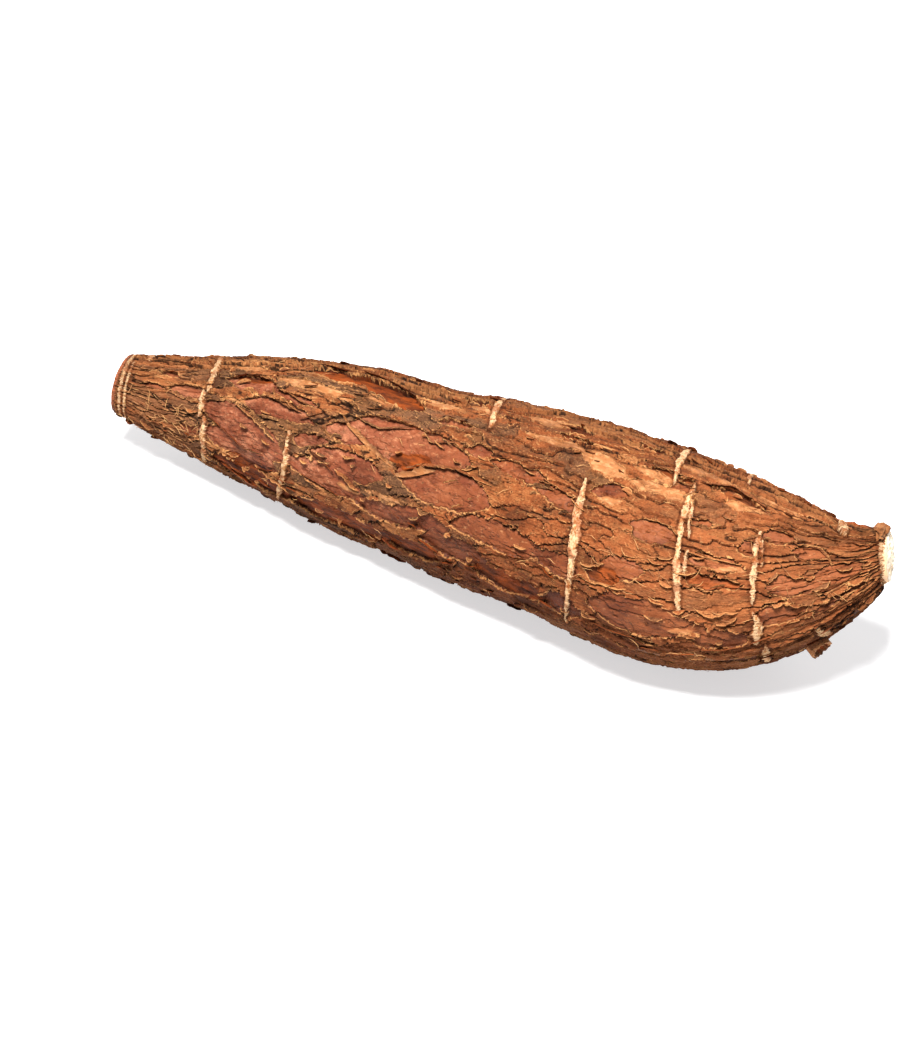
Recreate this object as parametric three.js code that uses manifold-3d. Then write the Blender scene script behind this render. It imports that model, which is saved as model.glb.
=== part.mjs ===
// Cassava root, whole, with the bark on: a tapered storage root lying on its belly.
// Millimetres. +Z up, +X from the knife-cut neck to the snapped-off tail, +Y to the side that the
// neck and the tail both bend towards. The origin is under the middle of the root, on the surface
// that it lies on.
import * as THREE from "three";
import { mergeVertices } from "three/addons/utils/BufferGeometryUtils.js";
import Module from "manifold-3d";

// The root's axis from neck to tail, and its mean radius there. Where z is less than the radius the
// belly is pressed flat on the surface, and the neck and the tail stand clear of it.
const STATIONS = [
  { name: "neck cut", x: 2, y: 0, z: 26, radius: 12.2 },
  { name: "neck", x: 22, y: 1.5, z: 25, radius: 16.8 },
  { name: "shoulder", x: 46, y: 3.2, z: 25, radius: 22.2 },
  { name: "first contact", x: 71, y: 2.8, z: 26.5, radius: 27.2 },
  { name: "upper waist", x: 97, y: -0.7, z: 30, radius: 31.2 },
  { name: "waist", x: 121, y: -3.3, z: 31.4, radius: 32.6 },
  { name: "lower waist", x: 145, y: -6.2, z: 33, radius: 34 },
  { name: "upper belly", x: 169, y: -8.4, z: 35.2, radius: 36 },
  { name: "belly", x: 202, y: -11.2, z: 36.6, radius: 37.4 },
  { name: "lower belly", x: 234, y: -14.6, z: 37, radius: 37.8 },
  { name: "tail root", x: 255, y: -12.8, z: 38.8, radius: 34.2 },
  { name: "tail", x: 276, y: -8.8, z: 43.6, radius: 26.6 },
  { name: "tail neck", x: 292, y: -3.8, z: 49.5, radius: 16.4 },
  { name: "tail break", x: 303, y: 0.4, z: 54.2, radius: 9.8 },
];

// The root grew a little out of round: each lobe is a share of the radius, with its number of
// crests around the root, its turn along the length and where it starts, in radians.
const LOBES = [
  { share: 0.022, crests: 2, turn: 2.2, start: 0.9 },
  { share: 0.012, crests: 3, turn: -6.5, start: 2.1 },
  { share: 0.006, crests: 5, turn: 11, start: 0.4 },
];

// Slow swells along the length, where growth paused at the ring scars.
const SWELL = { share: 0.008, waves: 6.5, start: 0.6 };

// The snapped tail: how far the middle of the break stands out past its rim, and the slant that it
// broke on. The slant lengthens the side in the direction highAngle and shortens the side opposite,
// and it fades out over the last share of the length.
const BREAK = { crown: 1.6, slant: 2.4, highAngle: 0.9, fade: 0.08 };

// The stub of a side rootlet, low on the tail.
const ROOTLET = {
  base: new THREE.Vector3(281, -18.5, 30),
  direction: new THREE.Vector3(0.77, -0.24, -0.59).normalize(),
  length: 13,
  baseRadius: 4.4,
  tipRadius: 3.1,
};

// Mesh fineness: divisions along the root, around it, and around the rootlet.
const ALONG = 72;
const AROUND = 36;
const ROOTLET_AROUND = 10;

const BARK_COLOUR = 0x7a4a2c;
const BARK_ROUGHNESS = 0.85;

const axis = new THREE.CatmullRomCurve3(
  STATIONS.map(({ x, y, z }) => new THREE.Vector3(x, y, z)),
  false,
  "centripetal",
);
const radii = new THREE.SplineCurve(
  STATIONS.map(({ radius }, index) => new THREE.Vector2(index, radius)),
);

/** The root's radius at share t of the stations, in the direction angle around the axis. */
function radiusAt(t, angle) {
  let shape = 1 + SWELL.share * Math.sin(SWELL.waves * 2 * Math.PI * t + SWELL.start);
  for (const { share, crests, turn, start } of LOBES) {
    shape += share * Math.cos(crests * angle + turn * t + start);
  }
  return radii.getPoint(t).y * shape;
}

/** The point at share t along the axis, in the direction angle, at a share of the radius. */
function surfacePoint(t, angle, radiusShare) {
  const centre = axis.getPoint(t);
  const tangent = axis.getTangent(t);
  const side = new THREE.Vector3(0, 0, 1).cross(tangent).normalize();
  const rise = new THREE.Vector3().crossVectors(tangent, side);
  const reach = radiusShare * radiusAt(t, angle);
  return centre
    .addScaledVector(side, reach * Math.cos(angle))
    .addScaledVector(rise, reach * Math.sin(angle));
}

/** How far the slanted, crowned break moves a point along the axis. */
function breakReach(t, angle, radiusShare) {
  const share = THREE.MathUtils.smoothstep(t, 1 - BREAK.fade, 1);
  const slant = BREAK.slant * radiusShare * Math.cos(angle - BREAK.highAngle);
  const crown = t === 1 ? BREAK.crown * (1 - radiusShare) : 0;
  return share * slant + crown;
}

/** A closed geometry with its shared vertices merged, as manifold-3d needs it. */
function weld(geometry) {
  geometry.deleteAttribute("normal");
  geometry.deleteAttribute("uv");
  return mergeVertices(geometry, 1e-4);
}

/** The bare root: a capped unit cylinder bent along the axis and pressed on the surface. */
function bodyGeometry() {
  const geometry = weld(new THREE.CylinderGeometry(1, 1, 1, AROUND, ALONG));
  const position = geometry.getAttribute("position");
  const unit = new THREE.Vector3();
  for (let i = 0; i < position.count; i++) {
    unit.fromBufferAttribute(position, i);
    const t = THREE.MathUtils.clamp(0.5 - unit.y, 0, 1);
    const angle = Math.atan2(unit.z, unit.x);
    const radiusShare = Math.hypot(unit.x, unit.z);
    const point = surfacePoint(t, angle, radiusShare);
    point.addScaledVector(axis.getTangent(t), breakReach(t, angle, radiusShare));
    position.setXYZ(i, point.x, point.y, Math.max(point.z, 0));
  }
  return geometry;
}

/** The side rootlet's stub, a short tapered cylinder that starts inside the body. */
function rootletGeometry() {
  const { base, direction, length, baseRadius, tipRadius } = ROOTLET;
  const geometry = weld(new THREE.CylinderGeometry(tipRadius, baseRadius, length, ROOTLET_AROUND));
  const turn = new THREE.Quaternion().setFromUnitVectors(new THREE.Vector3(0, 1, 0), direction);
  const middle = base.clone().addScaledVector(direction, length / 2);
  return geometry.applyQuaternion(turn).translate(middle.x, middle.y, middle.z);
}

const wasm = await Module();
wasm.setup();

/** A manifold-3d solid of a welded geometry. */
function solidOf(geometry) {
  return new wasm.Manifold(
    new wasm.Mesh({
      numProp: 3,
      vertProperties: geometry.getAttribute("position").array,
      triVerts: new Uint32Array(geometry.index.array),
    }),
  );
}

/** The three.js geometry of a manifold-3d solid. */
function geometryOf(solid) {
  const { vertProperties, triVerts } = solid.getMesh();
  return new THREE.BufferGeometry()
    .setAttribute("position", new THREE.BufferAttribute(vertProperties, 3))
    .setIndex(new THREE.BufferAttribute(triVerts, 1));
}

/** The whole root, moved so that the origin is under its middle. */
function rootGeometry() {
  const geometry = geometryOf(solidOf(bodyGeometry()).add(solidOf(rootletGeometry())));
  geometry.computeBoundingBox();
  const middle = geometry.boundingBox.getCenter(new THREE.Vector3());
  geometry.translate(-middle.x, -middle.y, -geometry.boundingBox.min.z);
  geometry.computeVertexNormals();
  return geometry;
}

const cassavaRoot = new THREE.Mesh(
  rootGeometry(),
  new THREE.MeshStandardMaterial({ color: BARK_COLOUR, roughness: BARK_ROUGHNESS, metalness: 0 }),
);
cassavaRoot.name = "cassava_root";

const group = new THREE.Group();
group.add(cassavaRoot);
export default group;
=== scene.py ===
"""A whole cassava root with its bark on, lying on a pale studio floor.

The bark is worked out on a fine grid along and around the root's axis: peeled windows, ring scars and
growth strips are placed one by one where the root carries them, and seeded scales fill what lies between.
Loose curls of bark, fibres, the end faces and the rootlet's stub are pieces of their own on top of it.
Sizes are in millimetres while a shape is worked out, and become metres when its mesh is made.
"""

import logging
import math
from dataclasses import dataclass, field
from enum import Enum

import bmesh
import bpy
import numpy as np
from mathutils import Matrix, Vector


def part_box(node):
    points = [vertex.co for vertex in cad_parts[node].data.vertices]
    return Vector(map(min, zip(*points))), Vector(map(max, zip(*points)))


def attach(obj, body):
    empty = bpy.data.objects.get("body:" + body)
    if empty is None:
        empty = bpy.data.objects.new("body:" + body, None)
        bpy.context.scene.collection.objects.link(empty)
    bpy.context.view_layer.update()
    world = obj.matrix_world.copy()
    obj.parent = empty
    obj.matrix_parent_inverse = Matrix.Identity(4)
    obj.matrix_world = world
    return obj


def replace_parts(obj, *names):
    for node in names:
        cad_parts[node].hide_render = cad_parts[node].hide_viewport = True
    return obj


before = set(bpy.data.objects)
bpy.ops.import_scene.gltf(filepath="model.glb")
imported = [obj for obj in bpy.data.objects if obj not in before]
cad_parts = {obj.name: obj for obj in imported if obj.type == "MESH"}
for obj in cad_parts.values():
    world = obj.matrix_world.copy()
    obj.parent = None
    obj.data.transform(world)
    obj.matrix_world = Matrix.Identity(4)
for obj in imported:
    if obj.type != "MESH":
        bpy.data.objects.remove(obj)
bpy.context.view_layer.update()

MM = 0.001
NODE = "cassava_root"
BODY = "root"
LOG = logging.getLogger("cassava")

EVEN_RADIUS = 32.0  # radius of the straight, even root that patterns are laid on, in millimetres
EDGE_SPAN = 8.0  # range of the distances to a window or a scar that a mesh holds, in millimetres
LINE_SPAN = 2.0  # range of the distances to a flake's gap or free edge that a mesh holds
CLEARANCE = 0.02  # how far loose bark and fibres stay over the floor

Array = np.ndarray
Points = tuple[Array, Array, Array]
Colour = tuple[float, float, float]


# ---------------------------------------------------------------------------------------------------
# Noise and scale patterns
# ---------------------------------------------------------------------------------------------------


def mixed_bits(x: Array, y: Array, z: Array, seed: int) -> Array:
    """Well mixed 32-bit numbers for whole-number places.

    Args:
        x: First coordinates.
        y: Second coordinates.
        z: Third coordinates.
        seed: Picks another set of numbers.

    Returns:
        One unsigned number for each place.
    """
    wide = [np.asarray(part).astype(np.int64) for part in (x, y, z)]
    bits = wide[0] * 374761393 + wide[1] * 668265263 + wide[2] * 1440662683 + seed * 974634777
    bits = (bits & 0xFFFFFFFF).astype(np.uint32)
    bits = (bits ^ (bits >> np.uint32(13))) * np.uint32(1274126177)
    bits = (bits ^ (bits >> np.uint32(15))) * np.uint32(2246822519)
    return bits ^ (bits >> np.uint32(16))


def shares(bits: Array, shift: int) -> Array:
    """Numbers from 0 to 1 out of the ten bits that start at a shift."""
    return ((bits >> np.uint32(shift)) & np.uint32(1023)).astype(np.float32) / 1023.0


def noise(points: Points, size: float, seed: int, stretch: float = 1.0) -> Array:
    """Smooth noise from about -1 to 1.

    Args:
        points: Places in the grain space, in millimetres.
        size: Distance between features, in millimetres.
        seed: Picks another noise.
        stretch: How many times longer the features are along the root than across it.

    Returns:
        The noise at each place.
    """
    scaled = (points[0] / (size * stretch), points[1] / size, points[2] / size)
    cell = [np.floor(part).astype(np.int32) for part in scaled]
    inner = [(part - base).astype(np.float32) for part, base in zip(scaled, cell)]
    eased = [part**3 * (part * (part * 6 - 15) + 10) for part in inner]
    total = np.zeros(scaled[0].shape, np.float32)
    for corner in range(8):
        step = (corner & 1, corner >> 1 & 1, corner >> 2 & 1)
        bits = mixed_bits(cell[0] + step[0], cell[1] + step[1], cell[2] + step[2], seed)
        reach = sum((shares(bits, 10 * part) * 2 - 1) * (inner[part] - step[part]) for part in range(3))
        weight = math.prod([eased[part] if step[part] else 1 - eased[part] for part in range(3)], start=1.0)
        total += reach * weight
    return total * 1.6


def rough(points: Points, size: float, seed: int, stretch: float = 1.0, layers: int = 3) -> Array:
    """Noise with finer layers added, each half the size and a little over half as strong.

    Args:
        points: Places in the grain space, in millimetres.
        size: Distance between the largest features, in millimetres.
        seed: Picks another noise.
        stretch: How many times longer the features are along the root than across it.
        layers: Number of layers.

    Returns:
        The noise at each place.
    """
    total = np.zeros(points[0].shape, np.float32)
    for layer in range(layers):
        total += noise(points, size / 2**layer, seed + 17 * layer, stretch) * 0.55**layer
    return total


def ramp(value: Array, low: float, high: float) -> Array:
    """A smooth step from 0 at low to 1 at high."""
    share = np.clip((value - low) / (high - low), 0, 1)
    return share * share * (3 - 2 * share)


def soften(mask: Array, passes: int = 2) -> Array:
    """A grid's mask with softer edges, closed around the root.

    Args:
        mask: The mask.
        passes: How many times it is softened.

    Returns:
        The mask as shares from 0 to 1.
    """
    soft = mask.astype(np.float32)
    for _ in range(passes):
        padded = np.vstack([soft[:1], soft, soft[-1:]])
        soft = (padded[:-2] + 2 * soft + padded[2:]) / 4
        soft = (np.roll(soft, 1, 1) + 2 * soft + np.roll(soft, -1, 1)) / 4
    return soft


@dataclass(frozen=True)
class ScaleField:
    """Overlapping bark scales on a staggered lattice that closes around the root.

    Attributes:
        length: Length of a scale along the root, in millimetres.
        around: Number of scales around the root, an even number.
        seed: Picks another layout.
        spread: How far a scale may stand from its place in the lattice.
    """

    length: float
    around: int
    seed: int
    spread: float = 0.85

    def lay(self, along: Array, turn: Array) -> tuple[Array, Array, Array, Array]:
        """Finds the scale that covers each place.

        Args:
            along: Distance along the root, in millimetres.
            turn: Place around the root, in whole turns.

        Returns:
            The scale's tone from 0 to 1, its tilted height from about -1 to 1, how far the place is
            from the scale's edge, and a second tone.
        """
        x = along / self.length
        y = turn * self.around
        column = np.floor(x).astype(np.int32)
        row = np.floor(y).astype(np.int32)
        nearest = np.full(x.shape, 9.0, np.float32)
        second = np.full(x.shape, 9.0, np.float32)
        tone = np.zeros(x.shape, np.float32)
        other = np.zeros(x.shape, np.float32)
        height = np.zeros(x.shape, np.float32)
        for step_x in (-1, 0, 1):
            for step_y in (-1, 0, 1):
                near_row = row + step_y
                home = near_row % self.around
                bits = mixed_bits(column + step_x, home, np.zeros_like(home), self.seed)
                stagger = 0.5 * (home & 1)
                across = x - (column + step_x + stagger + self.spread * (shares(bits, 0) - 0.5))
                upward = y - (near_row + 0.5 + self.spread * (shares(bits, 10) - 0.5))
                distance = across * across + upward * upward
                closer = distance < nearest
                second = np.where(closer, nearest, np.minimum(second, distance))
                nearest = np.where(closer, distance, nearest)
                tone = np.where(closer, shares(bits, 20), tone)
                twin = shares(bits ^ np.uint32(0x5A5A5A5A), 6)
                other = np.where(closer, twin, other)
                lean = shares(bits, 20) - 0.5 + (twin - 0.5) * (1.5 * upward + 0.5 * across)
                height = np.where(closer, lean, height)
        return tone, height * 1.6, np.sqrt(second) - np.sqrt(nearest), other


@dataclass(frozen=True)
class Flakes:
    """Thin bark flakes that lie one over the next, with wavy edges that mostly run along the root.

    Attributes:
        size: Distance between the swells that bend the edges, in millimetres.
        stretch: How many times longer the swells are along the root than across it.
        levels: How many flakes lie over one another on a swell.
        edges: Edges met on the way around the root, from the slant of the flakes.
        seed: Picks another layout.
        lip: How far a flake's free edge curls up, in millimetres.
        drop: How deep the gap beside a free edge is, in millimetres.
        broken: How much of the edges has grown shut, from 0 to 1.
        ragged: How ragged the edges are, as a share of a level.
    """

    size: float
    stretch: float
    levels: float
    edges: int
    seed: int
    lip: float
    drop: float
    broken: float = 0.4
    ragged: float = 0.13

    def lay(self, grain: Points, along: Array, angle: Array, radius: Array) -> tuple[Array, ...]:
        """Lays the flakes over the grid.

        Args:
            grain: The grid's places in the grain space, in millimetres.
            along: Distances along the root in millimetres, on the grid.
            angle: Directions around it in radians, on the grid.
            radius: The root's mean radius at each place, in millimetres.

        Returns:
            The height in millimetres, the distance to a free edge on the flake that has it, the
            distance to the gap on the flake below, and the flake's tone from 0 to 1.
        """
        swell = self.levels * noise(grain, self.size, self.seed, self.stretch)
        swell += 0.3 * self.levels * noise(grain, self.size / 2.6, self.seed + 1, 1 + 0.5 * self.stretch)
        swell += self.ragged * noise(grain, 1.4, self.seed + 2, 1.4)
        steep_along = np.gradient(swell, axis=0) / (along[1, 0] - along[0, 0])
        reach = radius * (angle[0, 1] - angle[0, 0])
        steep_around = (np.roll(swell, -1, 1) - np.roll(swell, 1, 1)) / 2 / reach
        steep_around += self.edges / (2 * np.pi * radius)
        steep = np.maximum(np.hypot(steep_along, steep_around), 0.04)
        level = swell + angle / (2 * np.pi) * self.edges
        share = level - np.floor(level)
        shut = 3 * self.broken * ramp(noise(grain, 7, self.seed + 3, 1.8), -0.1, 0.5)
        high = (1 - share) / steep + shut
        low = share / steep + shut
        height = self.lip * np.exp(-high / 1.1) - self.drop * np.exp(-low / 0.75)
        number = np.floor(level).astype(np.int32) % self.edges
        bits = mixed_bits(number, np.zeros_like(number), np.zeros_like(number), self.seed)
        return height, high, low, shares(bits, 0)


# ---------------------------------------------------------------------------------------------------
# The root's form
# ---------------------------------------------------------------------------------------------------


@dataclass(frozen=True)
class Station:
    """One place on the root's axis, in millimetres.

    Attributes:
        x: How far it is along the root.
        y: How far it is to the side.
        z: How high it is over the floor.
        radius: The mean radius there.
    """

    x: float
    y: float
    z: float
    radius: float


@dataclass(frozen=True)
class Lobe:
    """One way in which the root is out of round.

    Attributes:
        share: Its strength, as a share of the radius.
        crests: Number of crests around the root.
        turn: How far the crests turn from the neck to the tail, in radians.
        start: Where they start at the neck.
    """

    share: float
    crests: int
    turn: float
    start: float


@dataclass(frozen=True)
class RootForm:
    """The smooth root under its bark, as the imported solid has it.

    Attributes:
        stations: The axis from the neck to the tail, where z is the height over the floor.
        lobes: The out-of-round shape.
        swell: Share, waves and start of the slow swells along the length.
        crown: How far the middle of the snapped tail stands out, in millimetres.
        slant: How far the tail's break slants, in millimetres.
        slant_angle: Direction in which the slant is longest, in radians.
        slant_fade: Share of the length over which the slant fades out.
        shares_along: Shares of the stations at which the axis is measured.
        lengths: The axis's length up to each of those shares, in millimetres.
        middle: Where the shared frame's origin is as the stations are placed, in millimetres.
    """

    stations: tuple[Station, ...] = (
        Station(2, 0, 26, 12.2),
        Station(22, 1.5, 25, 16.8),
        Station(46, 3.2, 25, 22.2),
        Station(71, 2.8, 26.5, 27.2),
        Station(97, -0.7, 30, 31.2),
        Station(121, -3.3, 31.4, 32.6),
        Station(145, -6.2, 33, 34),
        Station(169, -8.4, 35.2, 36),
        Station(202, -11.2, 36.6, 37.4),
        Station(234, -14.6, 37, 37.8),
        Station(255, -12.8, 38.8, 34.2),
        Station(276, -8.8, 43.6, 26.6),
        Station(292, -3.8, 49.5, 16.4),
        Station(303, 0.4, 54.2, 9.8),
    )
    lobes: tuple[Lobe, ...] = (
        Lobe(0.022, 2, 2.2, 0.9),
        Lobe(0.012, 3, -6.5, 2.1),
        Lobe(0.006, 5, 11, 0.4),
    )
    swell: tuple[float, float, float] = (0.008, 6.5, 0.6)
    crown: float = 1.6
    slant: float = 2.4
    slant_angle: float = 0.9
    slant_fade: float = 0.08
    shares_along: Array = field(init=False, repr=False)
    lengths: Array = field(init=False, repr=False)
    middle: Array = field(init=False, repr=False)

    def __post_init__(self) -> None:
        """Measures the axis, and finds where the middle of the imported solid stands."""
        object.__setattr__(self, "shares_along", np.linspace(0, 1, 4001))
        steps = np.diff(self.axis(self.shares_along), axis=0)
        lengths = np.concatenate([[0], np.cumsum(np.linalg.norm(steps, axis=1))])
        object.__setattr__(self, "lengths", lengths)
        object.__setattr__(self, "middle", np.zeros(3))
        along, turn = np.meshgrid(np.linspace(0, lengths[-1], 300), np.linspace(0, 2 * np.pi, 90))
        low, high = (np.array(corner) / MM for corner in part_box(NODE))
        bare = self.surface(along, turn)
        measured = (bare.min((0, 1)) + bare.max((0, 1))) / 2
        object.__setattr__(self, "middle", np.array([*(measured - (low + high) / 2)[:2], 0.0]))

    @property
    def length(self) -> float:
        """Length of the axis, in millimetres."""
        return float(self.lengths[-1])

    def _spans(self, share: Array, count: int) -> tuple[Array, Array]:
        """The station before each share of the stations, and the share of the span after it."""
        place = (count - 1) * np.clip(share, 0, 1)
        index = np.minimum(np.floor(place).astype(int), count - 2)
        return index, place - index

    def axis(self, share: Array) -> Array:
        """Points on a centripetal Catmull-Rom curve through the stations.

        Args:
            share: Shares of the stations, from 0 at the neck to 1 at the tail.

        Returns:
            The points, in millimetres.
        """
        knots = np.array([[s.x, s.y, s.z] for s in self.stations])
        index, inner = self._spans(np.asarray(share, float), len(knots))
        reached = np.vstack([2 * knots[0] - knots[1], knots, 2 * knots[-1] - knots[-2]])
        before, start, end, after = (reached[index + step] for step in range(4))
        gaps = [
            ((b - a) ** 2).sum(-1, keepdims=True) ** 0.25
            for a, b in ((before, start), (start, end), (end, after))
        ]
        run = (end - start) / gaps[1]
        leave = (start - before) / gaps[0] - (end - before) / (gaps[0] + gaps[1]) + run
        reach = run - (after - start) / (gaps[1] + gaps[2]) + (after - end) / gaps[2]
        return self._cubic(start, end, leave * gaps[1], reach * gaps[1], inner[..., None])

    @staticmethod
    def _cubic(start: Array, end: Array, leave: Array, reach: Array, inner: Array) -> Array:
        """Values on a cubic from start to end that leaves and arrives at two slopes."""
        cubic = 2 * start - 2 * end + leave + reach
        square = 3 * end - 3 * start - 2 * leave - reach
        return start + leave * inner + square * inner**2 + cubic * inner**3

    def mean_radius(self, share: Array) -> Array:
        """The mean radius at shares of the stations, in millimetres."""
        radii = np.array([s.radius for s in self.stations])
        index, inner = self._spans(np.asarray(share, float), len(radii))
        before, start, end, after = (
            radii[np.clip(index + step, 0, len(radii) - 1)] for step in (-1, 0, 1, 2)
        )
        return self._cubic(start, end, (end - before) / 2, (after - start) / 2, inner)

    def radius(self, share: Array, angle: Array) -> Array:
        """The radius in a direction around the axis, in millimetres.

        Args:
            share: Shares of the stations.
            angle: Directions around the axis, in radians.

        Returns:
            The radii.
        """
        amount, waves, start = self.swell
        shape = 1 + amount * np.sin(waves * 2 * np.pi * share + start)
        for lobe in self.lobes:
            shape = shape + lobe.share * np.cos(lobe.crests * angle + lobe.turn * share + lobe.start)
        return self.mean_radius(share) * shape

    def share_at(self, along: Array) -> Array:
        """The share of the stations at a distance along the axis, in millimetres."""
        return np.interp(along, self.lengths, self.shares_along)

    def directions(self, share: Array) -> tuple[Array, Array, Array]:
        """The axis's tangent, its level side direction and its rising direction.

        Args:
            share: Shares of the stations.

        Returns:
            The three directions at each share.
        """
        small = 1e-4
        ahead, behind = np.minimum(share + small, 1), np.maximum(share - small, 0)
        tangent = self.axis(ahead) - self.axis(behind)
        tangent /= np.linalg.norm(tangent, axis=-1, keepdims=True)
        side = np.cross(np.array([0.0, 0.0, 1.0]), tangent)
        side /= np.linalg.norm(side, axis=-1, keepdims=True)
        return tangent, side, np.cross(tangent, side)

    def surface(self, along: Array, angle: Array, depth: Array | float = 0.0) -> Array:
        """Points on the smooth root.

        Args:
            along: Distances along the axis, in millimetres.
            angle: Directions around it, in radians: 0 is the level side and a quarter turn is up.
            depth: How far inside the surface the points are, in millimetres.

        Returns:
            The points in the shared frame, in millimetres, none of them under the floor.
        """
        along, angle = np.broadcast_arrays(np.asarray(along, float), np.asarray(angle, float))
        share = self.share_at(along)
        tangent, side, rise = self.directions(share)
        reach = (self.radius(share, angle) - depth)[..., None]
        spoke = np.cos(angle)[..., None] * side + np.sin(angle)[..., None] * rise
        points = self.axis(share) + reach * spoke
        slant = ramp(share, 1 - self.slant_fade, 1) * self.slant * np.cos(angle - self.slant_angle)
        points = points + slant[..., None] * tangent
        points[..., 2] = np.maximum(points[..., 2], 0)
        return points - self.middle

    def outward(self, along: Array, angle: Array) -> Array:
        """Directions straight out of the smooth root.

        Args:
            along: Distances along the axis, in millimetres.
            angle: Directions around it, in radians.

        Returns:
            The directions, one unit long.
        """
        small = 0.4
        turned = small / 30
        ahead = self.surface(np.minimum(along + small, self.length), angle)
        behind = self.surface(np.maximum(along - small, 0), angle)
        after, before = self.surface(along, angle + turned), self.surface(along, angle - turned)
        normal = np.cross(after - before, ahead - behind)
        size = np.linalg.norm(normal, axis=-1, keepdims=True)
        return normal / np.maximum(size, 1e-9)

    def grain(self, along: Array, angle: Array) -> Points:
        """Places in the grain space: the root pulled straight, at one even radius."""
        along, angle = np.broadcast_arrays(np.asarray(along, float), np.asarray(angle, float))
        return along, EVEN_RADIUS * np.cos(angle), EVEN_RADIUS * np.sin(angle)


# ---------------------------------------------------------------------------------------------------
# What the bark shows
# ---------------------------------------------------------------------------------------------------


class Layer(Enum):
    """What a peeled window lays bare."""

    SKIN = "rosy inner skin"
    FRESH = "deep orange skin that was covered until lately"
    TAN = "pale torn inner bark"


@dataclass(frozen=True)
class Peel:
    """A leaf-shaped window where bark has come off.

    Attributes:
        along: Its middle along the root, in millimetres.
        around: Its middle around the root, in degrees.
        reach: Half its length, in millimetres.
        spread: Half its width, in degrees.
        slope: How it slants, in degrees for each millimetre along the root.
        layer: What it lays bare.
    """

    along: float
    around: float
    reach: float
    spread: float
    slope: float = 0.0
    layer: Layer = Layer.SKIN


# Windows listed one by one, as the rows of numbers that a Peel starts with.
PEELS = {
    Layer.SKIN: (
        (33, 126, 8.5, 6), (63, 109, 13, 7.5, 0.1), (79, 126, 17, 6.5, 0.1), (66, 147, 23, 13, 0.45),
        (64, 165, 22, 9, 0.25), (87, 115.5, 10, 3.2, 0.3), (99, 140, 6, 5, -0.5), (37, 166, 5, 6),
        (137, 123, 24, 11.5, 0.05), (113, 128, 10, 5.5, 0.05), (117, 147, 15, 8),
        (107, 160, 16, 8, 0.15), (156, 140, 17, 9.5, 0.05), (164, 115, 5, 4), (183, 119.5, 14, 5, 0.1),
        (197, 126, 9, 5.5, 0.25), (214, 114, 7, 5, -0.3), (236, 96, 4.5, 5), (233, 125.5, 8.5, 5.5),
        (265, 124, 5, 4.5), (275, 113.5, 6, 5.5), (285, 122, 6, 6.5), (291, 147, 10, 12, -0.5),
        (277, 148, 7, 8), (274, 168.5, 8, 8), (233, 173, 15, 12), (257, 181.5, 9, 8.5),
        (254, 134, 10, 4.5), (248, 172, 5, 4), (180, 157, 19, 9), (150, 163, 12, 6),
        (163, 176, 15, 9, 0.1), (205, 160, 10, 8), (134, 168, 12, 6), (297, 168, 5, 7),
        (289, 172, 7, 5, -0.6), (262, 205, 9, 4, 0.2), (228, 148, 7, 5), (208, 185, 11, 8),
        (21, 108, 6, 4), (17, 128, 5, 4), (151, 102, 7, 2.4), (246, 113, 6, 2.6),
    ),
    Layer.FRESH: (
        (69, 189, 25, 15, 0.05), (112, 192, 24, 13, 0.05), (95, 86, 12, 8.5, 0.4),
        (119, 90, 18, 9, 0.45), (62, 103.5, 10, 2.2), (141, 132, 9, 5, -0.2), (231, 89, 10, 2.5),
        (258, 91, 12, 3.4, 0.35), (191, 80, 6, 4), (193, 87.5, 9, 2.2), (216, 75, 5, 3), (153, 75, 8, 4),
        (186, 186, 16, 10), (144, 190, 14, 9), (254, 146, 10, 4.5), (222, 155, 6, 5), (236, 187.5, 5, 2),
        (255, 87, 5, 2.5, 0.3),
    ),
    Layer.TAN: (
        (91, 103, 19, 4, 0.12), (140, 87.5, 10, 4.2), (115, 99, 7, 2.2, 0.25), (187, 95, 14, 3.2, 0.15),
        (207, 100, 10, 6, 0.2), (229, 103, 12, 4, -0.1), (225, 94, 9, 3), (179, 79, 8.5, 4),
        (157, 82.5, 8, 2.6, 0.4), (215, 119, 5, 1.8, -0.4), (261, 96.5, 9, 2.8, 0.1),
        (258, 138, 7, 1.6, -0.2), (253, 132.5, 3, 1), (56, 126, 7, 2), (245, 79, 15, 2.3, 0.12),
        (272, 83, 16, 2, 0.1), (251, 198, 6, 2.6, 0.9), (236, 200, 6, 3), (246, 176, 4, 1.2, -0.4),
        (57, 90, 7, 4), (275, 183, 5, 1.6, 0.2), (60, 78, 9, 3), (118, 162.5, 5, 1.4, 0.1),
        (134, 158, 8, 2),
    ),
}


@dataclass(frozen=True)
class PeelScatter:
    """Seeded windows for the side that the listed windows leave bare.

    Attributes:
        seed: Picks another layout.
        first: Where the strewn side starts around the root, in degrees.
        last: Where it ends.
        spacing: Mean distance between windows along the root, in millimetres.
        rows: Rows of windows around the strewn side.
    """

    seed: int = 11
    first: float = 214.0
    last: float = 410.0
    spacing: float = 25.0
    rows: int = 12

    def strew(self, length: float) -> list[Peel]:
        """Lays the windows out over a root of a length, in millimetres.

        Args:
            length: The root's length.

        Returns:
            The windows.
        """
        draw = np.random.default_rng(self.seed)
        laid = []
        step = (self.last - self.first) / self.rows
        for row in range(self.rows):
            for column in range(int(length / self.spacing)):
                along = (column + 0.5 * (row % 2) + draw.uniform(0.1, 0.9)) * self.spacing
                around = self.first + (row + draw.uniform(0.1, 0.9)) * step
                layer = draw.choice(list(Layer), p=[0.6, 0.22, 0.18])
                reach = draw.uniform(6, 19) * (0.6 if layer is Layer.TAN else 1)
                spread = draw.uniform(3, 9) * (0.5 if layer is Layer.TAN else 1)
                slope = draw.uniform(-0.3, 0.3)
                if draw.uniform() < 0.85:
                    laid.append(Peel(along, around % 360, reach, spread, slope, layer))
        return laid


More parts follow.
